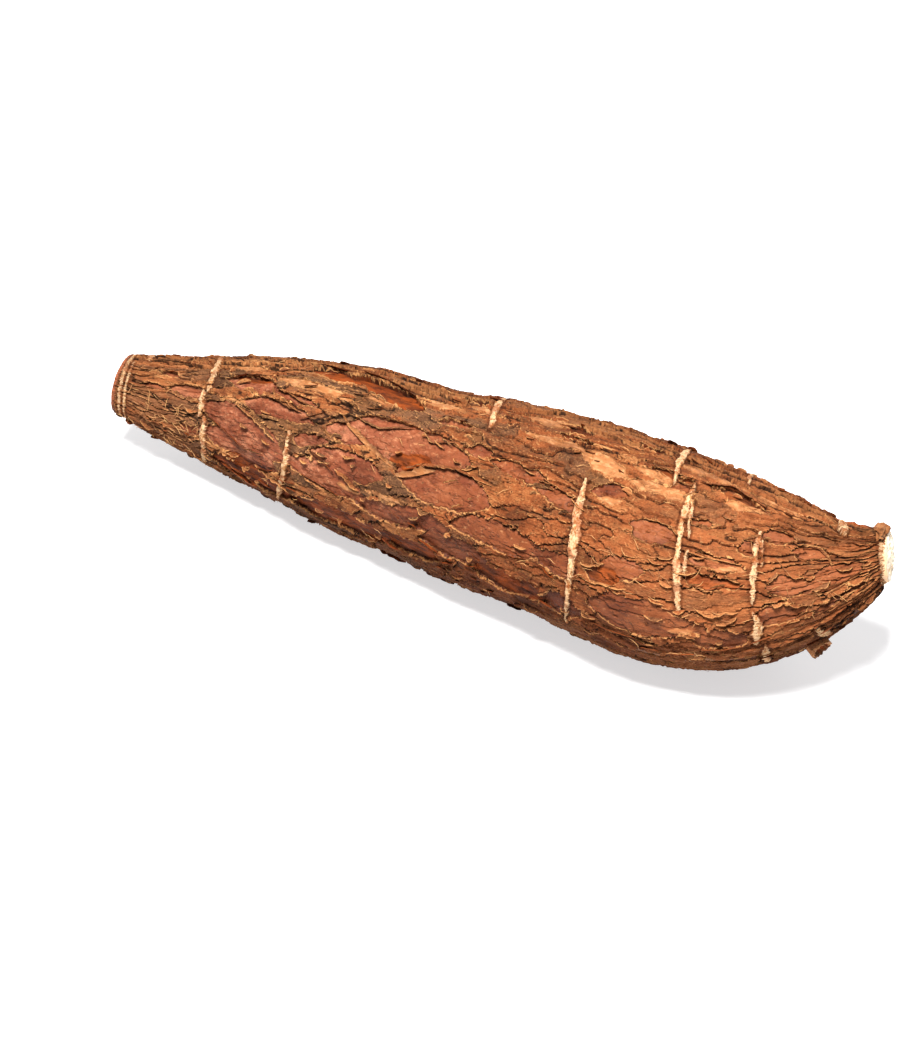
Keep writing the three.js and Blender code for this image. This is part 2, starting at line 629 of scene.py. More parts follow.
@dataclass(frozen=True)
class RingScar:
    """A cream ring scar that runs part of the way around the root.

    Attributes:
        places: Its line as (millimetres along, degrees around, width in millimetres).
        lift: How far it stands out, in millimetres.
    """

    places: tuple[tuple[float, float, float], ...]
    lift: float = 0.12


RING_SCARS = (
    RingScar(((2.2, 40, 0.7), (2.2, 90, 1.2), (2.9, 130, 1.1), (3.4, 170, 1.1), (3.6, 250, 0.8)), -0.1),
    RingScar(((4.3, 90, 0.4), (5.1, 130, 0.9), (5.7, 170, 1), (5.9, 225, 0.6)), -0.1),
    RingScar(((7, 40, 1.6), (8.6, 62, 2.6), (10, 84, 1.4))),
    RingScar(((36, 35, 1.2), (38, 66, 2.2), (41, 95, 2.6), (42.6, 120, 2.2), (42.6, 125, 0.8))),
    RingScar(((40.4, 122, 1), (41.3, 133, 3), (41.4, 149, 1))),
    RingScar(((44.5, 148, 1.4), (44, 165, 2.8), (44, 184, 2.4), (42.6, 206, 1.6), (42, 250, 1))),
    RingScar(((91, 139, 0.8), (91.2, 157, 2), (89.4, 174, 2.4), (86, 188, 2.4), (82, 203, 1.6))),
    RingScar(((153, 40, 1.4), (158, 70, 2.2), (162.4, 91, 2), (163.6, 99, 0.6))),
    RingScar(((204.4, 112, 0.7), (205.6, 121, 2), (206.8, 130, 3), (209.4, 142, 3.8), (211, 156, 2.4),
              (211.4, 176, 1.8), (210, 200, 1))),
    RingScar(((225.4, 55, 2), (227.6, 70, 3.6), (229.6, 82, 3), (232.6, 95, 0.8))),
    RingScar(((239.8, 89, 0.8), (240, 104, 1.8), (240.2, 119, 1.6), (241.8, 138, 1.8),
              (243.2, 158, 1.9), (243.6, 163, 0.6))),
    RingScar(((241.6, 102, 0.5), (242.6, 117, 1.2), (243.6, 124, 0.4)), 0.3),
    RingScar(((244.4, 130, 0.8), (243.8, 138, 1.3), (244.6, 145, 0.4)), 0.3),
    RingScar(((258.6, 52, 1.4), (259.4, 64, 2.2), (260.6, 74, 0.8))),
    RingScar(((268.4, 111, 0.7), (267.8, 124, 2.2), (267, 140, 1.8), (266.4, 158, 1))),
    RingScar(((269.6, 117, 0.5), (270, 126, 1), (269.6, 134, 0.4)), 0.3),
    RingScar(((266, 163, 0.4), (267.4, 172, 2.2), (266.6, 182, 2.4), (265.6, 189, 1))),
    RingScar(((268.4, 192, 0.8), (267, 203, 2), (266, 222, 1.6))),
    RingScar(((282, 196, 1), (282.8, 206, 2.6), (284, 222, 1.6))),
    RingScar(((295, 70, 1.6), (295.8, 84, 2.4), (296.8, 96, 0.6))),
    RingScar(((12, 250, 1), (13.5, 290, 1.8), (12.5, 330, 1))),
    RingScar(((66, 262, 1), (68, 300, 2.4), (70, 345, 1))),
    RingScar(((118, 240, 1), (121, 270, 2.4), (119, 300, 2), (120, 318, 0.8))),
    RingScar(((176, 292, 1), (178, 330, 2.6), (181, 372, 1))),
    RingScar(((214, 246, 0.8), (212, 280, 2.2), (214, 312, 1))),
    RingScar(((250, 262, 1), (252, 300, 2.4), (250, 350, 1))),
    RingScar(((280, 250, 0.8), (282, 300, 2), (284, 340, 1))),
)


@dataclass(frozen=True)
class Region:
    """A soft-edged part of the root, in millimetres along it and degrees around it.

    Attributes:
        start: Where it starts along the root.
        end: Where it ends.
        low: Its lowest direction.
        high: Its highest direction.
        fade_along: Half the width of its soft ends.
        fade_around: The width of its soft sides.
    """

    start: float
    end: float
    low: float
    high: float
    fade_along: float = 12.0
    fade_around: float = 9.0

    def weight(self, along: Array, around: Array) -> Array:
        """How much each place belongs to the region, from 0 to 1.

        Args:
            along: Distances along the root, in millimetres.
            around: Directions around it, in degrees.

        Returns:
            The shares.
        """
        turned = (around - self.low + 90) % 360 - 90
        width = self.high - self.low
        inside = ramp(turned, 0, self.fade_around) * (1 - ramp(turned, width - self.fade_around, width))
        lengthwise = ramp(along, self.start - self.fade_along, self.start + self.fade_along)
        past = ramp(along, self.end - self.fade_along, self.end + self.fade_along)
        return inside * lengthwise * (1 - past)


@dataclass(frozen=True)
class Skin:
    """The bark's relief on the grid.

    Attributes:
        height: How far each place stands over the smooth root, in millimetres.
        slip_along: How far it is pushed along the root, in millimetres.
        slip_around: How far it is pushed around the root, in millimetres.
        peel: Edge distance, fresh share, tan share and scar distance, each from 0 to 1.
        bark: Tone, distance to a gap (painted as shade), distance to a free edge (partly a painted highlight)
            and second tone, each from 0 to 1.
    """

    height: Array
    slip_along: Array
    slip_around: Array
    peel: Array
    bark: Array


@dataclass(frozen=True)
class BarkRelief:
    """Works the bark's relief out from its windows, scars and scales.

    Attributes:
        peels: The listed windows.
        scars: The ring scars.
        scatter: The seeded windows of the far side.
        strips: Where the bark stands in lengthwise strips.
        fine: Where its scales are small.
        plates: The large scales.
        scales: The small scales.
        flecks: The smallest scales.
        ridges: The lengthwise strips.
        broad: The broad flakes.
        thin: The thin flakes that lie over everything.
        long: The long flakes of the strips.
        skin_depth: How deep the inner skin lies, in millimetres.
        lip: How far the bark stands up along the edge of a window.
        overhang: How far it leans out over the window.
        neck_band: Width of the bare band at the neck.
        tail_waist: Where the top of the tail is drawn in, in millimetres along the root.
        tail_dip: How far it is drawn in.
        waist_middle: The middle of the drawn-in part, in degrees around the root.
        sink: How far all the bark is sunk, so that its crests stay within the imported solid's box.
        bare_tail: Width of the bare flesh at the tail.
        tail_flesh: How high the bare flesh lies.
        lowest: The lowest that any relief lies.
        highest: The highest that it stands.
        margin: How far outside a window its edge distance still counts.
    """

    peels: tuple[Peel, ...] = tuple(
        Peel(*row, layer=layer) for layer, rows in PEELS.items() for row in rows
    )
    scars: tuple[RingScar, ...] = RING_SCARS
    scatter: PeelScatter = PeelScatter()
    strips: tuple[Region, ...] = (
        Region(-20, 150, 28, 98),
        Region(150, 330, 22, 84),
        Region(212, 330, 184, 250),
        Region(-20, 330, 262, 330),
        Region(20, 60, 195, 240),
    )
    fine: tuple[Region, ...] = (Region(168, 330, 90, 190), Region(-20, 40, 95, 215))
    plates: ScaleField = ScaleField(15.0, 40, 3)
    scales: ScaleField = ScaleField(5.8, 104, 5)
    flecks: ScaleField = ScaleField(2.7, 190, 7)
    ridges: ScaleField = ScaleField(30.0, 66, 9)
    broad: Flakes = Flakes(15.0, 2.0, 2.0, 18, 101, 0.6, 1.1, 0.25)
    thin: Flakes = Flakes(7.0, 2.2, 1.3, 50, 111, 0.42, 0.75, 0.15)
    long: Flakes = Flakes(7.0, 6.0, 1.2, 42, 121, 0.8, 2.0, 0.1)
    skin_depth: float = 1.0
    lip: float = 0.5
    overhang: float = 0.6
    neck_band: float = 1.7
    tail_waist: float = 298.0
    tail_dip: float = 2.0
    waist_middle: float = 75.0
    sink: float = 0.35
    bare_tail: float = 1.8
    tail_flesh: float = -1.1
    lowest: float = -2.8
    highest: float = 0.8
    margin: float = 5.0

    def bend(self, grain: Points) -> tuple[Array, Array]:
        """How far growth has pulled the pattern: millimetres along the root, and degrees around it.

        Args:
            grain: Places in the grain space, in millimetres.

        Returns:
            The pull along the root and the pull around it.
        """
        drift = 1.7 * noise(grain, 13, 21, 1.6) + 1.0 * noise(grain, 4, 22, 1.6)
        climb = 2.3 * noise(grain, 11, 24, 1.8) + 1.5 * noise(grain, 3.6, 25, 1.6)
        return drift + 0.6 * noise(grain, 1.7, 23), climb + 0.9 * noise(grain, 1.5, 26)

    def windows(self, along: Array, around: Array, form: RootForm) -> tuple[Array, Array, Array]:
        """Edge distances of the windows, and what they lay bare.

        Args:
            along: Warped distances along the root, on the grid.
            around: Warped directions in degrees, on the grid.
            form: The smooth root.

        Returns:
            The distance to the nearest window's edge in millimetres, positive inside it, and the
            shares of fresh skin and of tan bark.
        """
        edge = np.full(along.shape, -4.0, np.float32)
        kind = np.zeros(along.shape, np.int8)
        order = {layer: number for number, layer in enumerate(Layer, 1)}
        for peel in (*self.peels, *self.scatter.strew(form.length)):
            per_degree = math.radians(float(form.mean_radius(form.share_at(peel.along))))
            wider = 1.15 if peel.layer is Layer.SKIN and peel.along < 160 else 1.0
            spread = peel.spread * per_degree * wider
            offset = (around - peel.around + 180) % 360 - 180
            beside = peel.spread * wider + self.margin / per_degree + abs(peel.slope) * peel.reach
            near = (np.abs(along - peel.along) < peel.reach * wider + self.margin) & (np.abs(offset) < beside)
            reach = (along[near] - peel.along) / (peel.reach * wider)
            across = (offset[near] - peel.slope * (along[near] - peel.along)) * per_degree
            inside = spread * (1 - np.abs(reach) ** 3) - np.abs(across)
            wins = inside > edge[near]
            edge[near] = np.where(wins, inside, edge[near])
            if peel.layer is not Layer.SKIN:
                wins = inside > -0.2
            kind[near] = np.where(wins & (inside > -1.2), order[peel.layer], kind[near])
        return edge, soften(kind == order[Layer.FRESH]), soften(kind == order[Layer.TAN])

    def sag(self, along: Array, around: Array) -> Array:
        """How far the top of the tail is drawn in before its broken end, in millimetres.

        Args:
            along: Distances along the root, in millimetres.
            around: Directions around it, in degrees.

        Returns:
            The depths.
        """
        crossways = np.abs((around - self.waist_middle + 180) % 360 - 180)
        lengthways = np.abs(along - self.tail_waist)
        return self.tail_dip * (1 - ramp(lengthways, 2, 9)) * (1 - ramp(crossways, 20, 80))

    def scar_distance(self, along: Array, around: Array, points: Points) -> tuple[Array, Array]:
        """How far each place is outside the nearest ring scar in millimetres, and the scar's lift.

        Args:
            along: Distances along the root in millimetres, on the grid.
            around: Directions around it in degrees, on the grid.
            points: The same places in the grain space.

        Returns:
            The distances and the lifts.
        """
        nearest = np.full(along.shape, 4.0, np.float32)
        lift = np.zeros(along.shape, np.float32)
        wander = 0.5 * noise(points, 7, 71) + 0.3 * noise(points, 2.6, 72) + 0.26 * noise(points, 1.1, 73)
        wander = wander * (0.35 + 0.65 * ramp(along, 5, 10))
        pinch = 1 + 0.45 * noise(points, 3.1, 74, 2.0)
        for scar in self.scars:
            line = np.array(scar.places)
            turned = (around - line[0, 1] + 90) % 360 - 90 + line[0, 1]
            centre = np.interp(turned, line[:, 1], line[:, 0])
            half = np.interp(turned, line[:, 1], line[:, 2]) / 2
            past = np.maximum(line[0, 1] - turned, turned - line[-1, 1]).clip(0) * 0.5
            distance = np.abs(along - centre + wander) - half * pinch + past
            closer = distance < nearest
            nearest = np.where(closer, distance, nearest)
            lift = np.where(closer, scar.lift, lift)
        return nearest, lift

    def lay(self, along: Array, angle: Array, form: RootForm) -> Skin:
        """Works the relief out: the bark, then the windows in it, the ring scars and the bare tail.

        Args:
            along: Distances along the root in millimetres, on the grid.
            angle: Directions around it in radians, on the grid.
            form: The smooth root.

        Returns:
            The relief at each place of the grid.
        """
        around = np.degrees(angle)
        grain = form.grain(along, angle)
        drift, climb = self.bend(grain)
        bent_along = along + drift
        bent_around = around + climb
        turn = bent_around / 360

        # Where the windows are, and where the bark stands in strips or in small scales.
        edge, fresh, tan = self.windows(bent_along, bent_around, form)
        edge = edge + 0.45 * noise(grain, 1.7, 27, 1.5) + 0.25 * noise(grain, 0.8, 28)
        calm = ramp(along, 165, 190)
        edge = edge + calm * (0.8 * noise(grain, 5, 30, 2) + 0.7 * noise(grain, 2.4, 36, 1.6))
        edge = np.maximum(edge, self.neck_band - along + 0.5 * noise(grain, 3, 29))
        strip = np.clip(sum(region.weight(along, around) for region in self.strips), 0, 1)
        small = np.clip(sum(region.weight(along, around) for region in self.fine), 0, 1)

        # The scales and flakes.
        plate_tone, plate_height, plate_edge, plate_other = self.plates.lay(bent_along, turn)
        scale_tone, scale_height, _, _ = self.scales.lay(along + 0.6 * drift, turn)
        fleck_tone, fleck_height, _, _ = self.flecks.lay(along + 0.4 * drift, turn)
        ridge_tone, ridge_height, _, _ = self.ridges.lay(along + 2 * drift, turn)
        radius = form.mean_radius(form.share_at(along))
        broad, broad_high, broad_low, broad_tone = self.broad.lay(grain, along, angle, radius)
        thin, thin_high, thin_low, thin_tone = self.thin.lay(grain, along, angle, radius)
        long, long_high, long_low, long_tone = self.long.lay(grain, along, angle, radius)

        # The outer bark, its gaps and its free edges.
        coarse = (1 - 0.65 * small) * (1 - strip)
        bark = coarse * (0.4 * plate_height + broad) + 0.16 * scale_height + 0.08 * fleck_height
        bark = bark + strip * (0.5 * ridge_height + long) + (0.6 + 0.85 * small) * thin
        bark = bark + 0.22 * noise(grain, 16, 32, 1.5)
        open_plate = ramp(noise(grain, 9, 33, 2), 0.0, 0.4)
        split = 7 * plate_edge + 3 * (1 - open_plate) + 3 * strip + 2 * calm
        bark = bark - 0.6 * np.exp(-split / 0.5)
        off_strip = 3 * (1 - strip)
        # Painted shade is laid along these gaps, on the low side beside each flake's drop.
        gap = np.minimum(broad_low + 3 * strip + small, 0.5 * long_low + off_strip)
        gap = np.minimum(np.minimum(gap, split), thin_low + 0.1)
        # Partly painted highlight: the lit distance marks each free edge, which the finish paints paler.
        lit = np.minimum(broad_high + 3 * strip + 0.4 * small, long_high + off_strip + 0.15)
        lit = np.minimum(lit, thin_high + 0.04)
        curl = 0.35 + 0.85 * ramp(noise(grain, 5, 35, 2), -0.5, 0.6)
        bark = bark + self.lip * curl * np.exp(np.minimum(edge, 0) / 0.75) * (1 - tan)

        # The windows: a lip of bark that overhangs most on their upper side, and the skin under it.
        slope_along = np.gradient(edge, axis=0)
        slope_around = (np.roll(edge, -1, 1) - np.roll(edge, 1, 1)) / 2
        steep = np.maximum(np.hypot(slope_along, slope_around), 1e-4)
        downhill = np.clip(3 * np.sin(angle - math.radians(60)), -1, 1)
        upper = ramp(slope_around / steep * downhill + 0.35 * slope_along / steep, -0.1, 0.7)
        eave = np.maximum(edge, 0)
        # Painted shadow: the gap mark is also laid just under a window's upper edge, where the bark above
        # would shade the skin.
        under_eave = 0.75 * eave + 2.5 * (1 - upper) * (1 - tan) + tan
        gap = np.where(edge > 0, np.minimum(gap + 0.5 * (1 - calm), under_eave), gap)
        lit = lit + 0.25 * (edge > 0)
        skin = 0.16 * noise(grain, 8, 41, 1.8) + 0.06 * rough(grain, 1.6, 42, 2.5) - self.skin_depth
        skin = skin - 0.65 * upper * np.exp(-eave / 0.8) * (1 - tan)
        skin = skin + (0.45 + 0.4 * calm) * thin + 0.45 * calm - 0.4 * fresh
        skin = skin + tan * (0.72 + 0.3 * rough(grain, 2.2, 43, 2.2))
        skin = skin + 1.1 * (1 - ramp(along, self.neck_band, self.neck_band + 1.5))
        inside = ramp(edge, -0.12, 0.22)
        height = bark * (1 - inside) + skin * inside
        height = height - self.sag(along, around) - self.sink

        # The ring scars and the bare tail.
        scar, lift = self.scar_distance(along, around, grain)
        torn_end = form.length - self.bare_tail - along + 0.7 * rough(grain, 5, 75, 0.7)
        lift = np.where(torn_end < scar, self.tail_flesh, lift)
        scar = np.minimum(scar, torn_end)
        torn = 0.2 * rough(grain, 1.8, 51, 0.6) + 0.12 * noise(grain, 0.8, 52)
        on_scar = 1 - ramp(scar, -0.2, 0.2)
        height = height * (1 - on_scar) + (lift + torn) * on_scar
        height = height - 0.35 * np.exp(-(((scar - 0.7) / 0.5) ** 2))

        # How far the lips lean over the windows, and what the finish reads.
        push = self.overhang * curl * np.exp(-np.abs(edge + 0.2) / 0.45) * (1 - inside) * (1 - on_scar)
        push = push * (0.6 + 0.8 * upper)
        peel = np.stack([0.5 + edge / EDGE_SPAN, fresh, tan, 0.5 + scar / EDGE_SPAN], -1)
        tone = 0.4 * plate_tone + 0.25 * broad_tone + 0.2 * thin_tone + 0.15 * fleck_tone
        tone = tone * (1 - strip) + strip * (0.5 * ridge_tone + 0.45 * long_tone - 0.03 + 0.1 * thin_tone)
        other = 0.7 * plate_other + 0.3 * scale_tone
        marks = np.stack([tone, gap / LINE_SPAN, lit / LINE_SPAN, other], -1)
        return Skin(
            height=np.clip(height, self.lowest, self.highest),
            slip_along=push * slope_along / steep,
            slip_around=push * slope_around / steep,
            peel=np.clip(peel, 0, 1),
            bark=np.clip(marks, 0, 1),
        )


# ---------------------------------------------------------------------------------------------------
# Meshes
# ---------------------------------------------------------------------------------------------------


def give(mesh: bpy.types.Mesh, values: dict[str, Array]) -> None:
    """Puts values on a mesh's vertices: four columns make a colour and three make a vector.

    Args:
        mesh: The mesh.
        values: The rows for its vertices, by name.
    """
    for key, rows in values.items():
        kind, part = ("FLOAT_COLOR", "color") if rows.shape[-1] == 4 else ("FLOAT_VECTOR", "vector")
        mesh.attributes.new(key, kind, "POINT").data.foreach_set(part, rows.astype(np.float32).ravel())


def read_points(piece: bpy.types.Object) -> Array:
    """A piece's vertices, in millimetres."""
    return np.array([vertex.co for vertex in piece.data.vertices]) / MM


def write_points(mesh: bpy.types.Mesh, points: Array) -> None:
    """Moves a mesh's vertices to places in millimetres."""
    mesh.vertices.foreach_set("co", (points * MM).astype(np.float32).ravel())


def quads(grid: Array, closed: bool = False, flipped: bool = False) -> Array:
    """Quads over a grid of vertex numbers, or of what stands at each vertex.

    Args:
        grid: The grid, row by row.
        closed: Whether the last column meets the first.
        flipped: Whether the quads are turned over.

    Returns:
        The four corners of each quad.
    """
    if closed:
        grid = np.hstack([grid, grid[:, :1]])
    corners = np.stack([grid[:-1, :-1], grid[:-1, 1:], grid[1:, 1:], grid[1:, :-1]], 2)
    corners = corners.reshape(-1, 4, *grid.shape[2:])
    return corners[:, ::-1] if flipped else corners


def fan(ring: Array, hub: int, flipped: bool) -> Array:
    """Triangles from a closed ring of vertices to a hub, with -1 in place of a fourth number."""
    pair = (np.roll(ring, -1), ring) if flipped else (ring, np.roll(ring, -1))
    return np.stack([*pair, np.full(len(ring), hub), np.full(len(ring), -1)], -1)


def joined(parts: list[tuple[Array, ...]]) -> tuple[Array, ...]:
    """Several shells as one.

    Args:
        parts: The shells, each as its points, its faces and any values of its points.

    Returns:
        The points, the faces and the values of them all.
    """
    offsets = np.cumsum([0, *(len(part[0]) for part in parts[:-1])])
    faces = np.vstack([part[1] + offset for part, offset in zip(parts, offsets)])
    points, _, *values = (np.vstack(column) for column in zip(*parts))
    return points, faces, *values


def mesh_object(
    name: str,
    points: Array,
    faces: Array,
    material: bpy.types.Material,
    attributes: dict[str, Array],
    places: Array | None = None,
) -> bpy.types.Object:
    """Makes an object of quads and triangles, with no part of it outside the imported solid's box.

    Args:
        name: The object's name.
        points: Its vertices, in millimetres.
        faces: Its faces as four vertex numbers each, with a last number of -1 for a triangle.
        material: Its material.
        attributes: Values on its vertices.
        places: A place on the map for each corner of each face, if it brings its own map.

    Returns:
        The object, with its place in its mesh.
    """
    low, high = (np.array(corner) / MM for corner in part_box(NODE))
    points = np.clip(points, low, high)
    mesh = bpy.data.meshes.new(name)
    mesh.vertices.add(len(points))
    write_points(mesh, points)
    used = faces >= 0
    corners = faces[used]
    counts = used.sum(1)
    mesh.loops.add(len(corners))
    mesh.loops.foreach_set("vertex_index", corners.astype(np.int32))
    mesh.polygons.add(len(faces))
    starts = np.concatenate([[0], np.cumsum(counts)[:-1]])
    mesh.polygons.foreach_set("loop_start", starts.astype(np.int32))
    mesh.update(calc_edges=True)
    if places is not None:
        layer = mesh.uv_layers.new(name="OFBake")
        layer.uv.foreach_set("vector", places[used].astype(np.float32).ravel())
    give(mesh, attributes)
    mesh.materials.append(material)
    made = bpy.data.objects.new(name, mesh)
    bpy.context.scene.collection.objects.link(made)
    return made


def choose(piece: bpy.types.Object) -> None:
    """Selects a piece and nothing else."""
    bpy.ops.object.select_all(action="DESELECT")
    piece.select_set(True)
    bpy.context.view_layer.objects.active = piece


def smooth(piece: bpy.types.Object, angle: float) -> None:
    """Smooths a piece's faces where they meet at less than an angle in degrees."""
    choose(piece)
    bpy.ops.object.shade_smooth_by_angle(angle=math.radians(angle))


def face_outwards(piece: bpy.types.Object) -> None:
    """Turns all faces of a piece's closed shells outwards."""
    choose(piece)
    bpy.ops.object.mode_set(mode="EDIT")
    bpy.ops.mesh.select_all(action="SELECT")
    bpy.ops.mesh.normals_make_consistent(inside=False)
    bpy.ops.object.mode_set(mode="OBJECT")


def settle(piece: bpy.types.Object) -> bpy.types.Object:
    """Fixes a finished piece to the root, and logs how many triangles it has.

    Args:
        piece: The piece.

    Returns:
        The piece.
    """
    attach(piece, BODY)
    triangles = sum(len(face.vertices) - 2 for face in piece.data.polygons)
    LOG.info("%s: %d triangles", piece.name, triangles)
    return piece


@dataclass
class BarkBody:
    """The root's body under its bark's relief, in four lengths that meet at ring scars.

    Attributes:
        form: The smooth root.
        relief: The bark's relief.
        rows_per_mm: Rows of the grid in each millimetre.
        columns: Columns of the grid around the root.
        joins: Where the lengths meet, in millimetres.
        names: The lengths' names, from the neck to the tail.
        map_share: How much of the map's height the bark takes, under the two end discs.
        disc_radius: An end disc's radius on the map.
        disc_middles: Where the end discs stand on the map.
        along: The grid's distances along the root, in millimetres.
        angle: Its directions around the root, in radians.
        skin: The relief on the grid.
        points: The grid's points, in millimetres.
    """

    form: RootForm
    relief: BarkRelief
    rows_per_mm: float = 2.2
    columns: int = 480
    joins: tuple[float, ...] = (89.0, 161.5, 241.0)
    names: tuple[str, ...] = ("neck_bark", "waist_bark", "belly_bark", "tail_bark")
    map_share: float = 0.93
    disc_radius: float = 0.03
    disc_middles: tuple[tuple[float, float], ...] = ((0.2, 0.965), (0.6, 0.965))
    along: Array = field(init=False, repr=False)
    angle: Array = field(init=False, repr=False)
    skin: Skin = field(init=False, repr=False)
    points: Array = field(init=False, repr=False)

    def __post_init__(self) -> None:
        """Lays the whole grid and raises its relief."""
        rows = int(self.form.length * self.rows_per_mm)
        steps = np.linspace(0, self.form.length, rows)
        turns = np.arange(self.columns) * 2 * np.pi / self.columns
        self.along, self.angle = np.meshgrid(steps, turns, indexing="ij")
        self.skin = self.relief.lay(self.along, self.angle, self.form)
        self.points = self.raised()

    def raised(self) -> Array:
        """The grid's points with the relief on them."""
        radius = self.form.mean_radius(self.form.share_at(self.along))
        quiet = ramp(self.along, 0.0, 1.2) * (1 - ramp(self.along, self.form.length - 1.2, self.form.length))
        along = np.clip(self.along + quiet * self.skin.slip_along, 0, self.form.length)
        angle = self.angle + quiet * self.skin.slip_around / radius
        base = self.form.surface(along, angle)
        points = base + self.form.outward(self.along, self.angle) * self.skin.height[..., None]
        points[..., 2] = np.maximum(points[..., 2], 0)
        return points

    def section(self, name: str, first: int, last: int, material: bpy.types.Material) -> bpy.types.Object:
        """One closed length of the root between two rows of the grid.

        Args:
            name: The piece's name.
            first: Its first row.
            last: Its last row.
            material: Its material.

        Returns:
            The piece.
        """
        rows, columns = last - first + 1, self.columns
        block = slice(first, last + 1)
        number = np.arange(rows * columns).reshape(rows, columns)
        turn = np.arange(columns + 1) / columns
        sides = quads(number, closed=True)
        side_places = quads(np.stack(np.meshgrid(turn, np.linspace(0, self.map_share, rows)), -1))
        ends, end_places, centres = [], [], []
        for row, middle, flipped in ((0, self.disc_middles[0], True), (-1, self.disc_middles[1], False)):
            ends.append(fan(number[row], rows * columns + len(ends), flipped))
            around = 2 * np.pi * turn
            disc = middle + self.disc_radius * np.stack([np.cos(around), np.sin(around)], -1)
            pair = (disc[1:], disc[:-1]) if flipped else (disc[:-1], disc[1:])
            hub = np.tile(middle, (columns, 1))
            end_places.append(np.stack([*pair, hub, hub], 1))
            centres.append(self.points[block][row].mean(0))
        points = np.vstack([self.points[block].reshape(-1, 3), *centres])
        grain = np.stack(self.form.grain(self.along[block], self.angle[block]), -1).reshape(-1, 3) * MM
        made = mesh_object(
            name,
            points,
            np.vstack([sides, *ends]),
            material,
            {
                "peel": np.vstack([self.skin.peel[block].reshape(-1, 4), [[0.9, 1, 0, 1]] * 2]),
                "bark": np.vstack([self.skin.bark[block].reshape(-1, 4), [[0.5, 1, 1, 0.5]] * 2]),
                "grain": np.vstack([grain, grain[:1], grain[-1:]]),
            },
            np.concatenate([side_places, *end_places]),
        )
        smooth(made, 50)
        return made

    def build(self, material: bpy.types.Material) -> None:
        """Makes the four lengths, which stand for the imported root."""
        joins = (int(round(join * self.rows_per_mm)) for join in self.joins)
        marks = [0, *joins, len(self.along) - 1]
        for name, first, last in zip(self.names, marks, marks[1:]):
            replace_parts(settle(self.section(name, first, last, material)), NODE)


@dataclass(frozen=True)
class Curl:
    """A strip of bark that has come loose along one side and rolled up.

    Attributes:
        line: Where it still holds on, as (millimetres along, degrees around).
        width: Its greatest width, in millimetres.
        side: 1 where it reaches towards larger angles, and -1 towards smaller ones.
        roll: How far it has rolled up, in radians.
        tone: Its tone, from 0 for grey bark to 1 for red bark.
        lift: How far over the smooth root it starts, in millimetres.
        pale: Whether its pale torn side shows.
    """

    line: tuple[tuple[float, float], ...]
    width: float
    side: int = 1
    roll: float = 1.1
    tone: float = 0.5
    lift: float = 0.0
    pale: bool = False


LARGE_CURLS = (
    Curl(((107, 118), (111, 124), (119, 130), (127, 135), (134, 138.5), (139, 140)),
         3.0, -1, 1.2, 0.8, 0.2, True),
    Curl(((137, 143.5), (141, 142), (147, 138), (153, 133)), 3.2, -1, 1.1, 0.8, 0.2, True),
    Curl(((146, 133), (153, 129), (161, 127.5), (169, 130), (174, 132)), 1.9, 1, 1.2, 0.4),
    Curl(((44, 146), (50, 150), (56, 155), (63, 161)), 1.9, -1, 1.5, 0.6),
    Curl(((62, 162), (68, 164), (75, 162)), 1.6, -1, 1.3, 0.6),
    Curl(((75, 111), (79, 117), (86, 122), (93, 124.5)), 1.6, 1, 1.4, 0.5),
    Curl(((76, 111), (84, 112.5), (91, 117), (98, 119)), 1.2, 1, 1.4, 0.5),
    Curl(((100, 146), (105, 150), (111, 155)), 1.6, -1, 1.5, 0.6),
    Curl(((98, 164), (106, 166), (114, 170)), 1.5, -1, 1.3, 0.4),
    Curl(((101, 130), (105, 134), (110, 134.5)), 1.8, -1, 1.4, 0.8),
    Curl(((84, 73), (92, 75), (99, 79)), 3.2, 1, 0.7, 0.2),
    Curl(((100, 73), (108, 74), (117, 77), (124, 82), (131, 87)), 3.0, 1, 0.8, 0.2),
    Curl(((50, 103), (56, 99), (64, 97.5), (73, 98)), 2.2, 1, 0.8, 0.3),
    Curl(((93, 129), (97, 124), (101, 120)), 1.4, 1, 1.6, 0.7),
    Curl(((241, 88), (248, 84), (256, 81), (264, 86), (271, 92)), 3.2, 1, 0.8, 0.2),
    Curl(((222, 87), (228, 85), (239, 87)), 2.0, 1, 0.8, 0.3),
    Curl(((190, 119), (197, 120), (204, 124)), 1.6, 1, 0.9, 0.4),
    Curl(((248, 160), (253, 163), (258, 161.5), (262, 163)), 2.4, 1, 1.6, 1.0),
    Curl(((249, 190), (256, 191.5), (264, 189)), 2.4, -1, 1.0, 0.2),
    Curl(((220, 187), (226, 189), (233, 188)), 1.8, -1, 1.0, 0.2),
    Curl(((242, 130), (249, 131), (257, 132), (264, 134)), 1.1, 1, 1.0, 0.5),
    Curl(((283, 115), (288, 118), (290, 127), (291, 138)), 0.9, -1, 1.0, 0.2),
    Curl(((281, 158), (288, 159.5), (295, 157), (300, 150)), 1.6, -1, 1.0, 0.4),
    Curl(((112, 116), (118, 117), (124, 118), (130, 114), (138, 110.5)), 1.3, 1, 0.9, 0.4),
    Curl(((141, 112), (147, 117), (150, 115), (156, 113), (160, 118)), 1.4, 1, 0.9, 0.4),
    Curl(((228, 120), (233, 119), (239, 120)), 1.1, 1, 0.9, 0.5),
    Curl(((52, 187), (60, 194), (70, 203)), 2.6, -1, 1.2, 0.3),
    Curl(((216, 161), (222, 159.5), (230, 158)), 1.2, 1, 1.2, 0.9),
    Curl(((272, 106), (276, 105.5), (281, 108)), 1.1, 1, 0.9, 0.4),
)


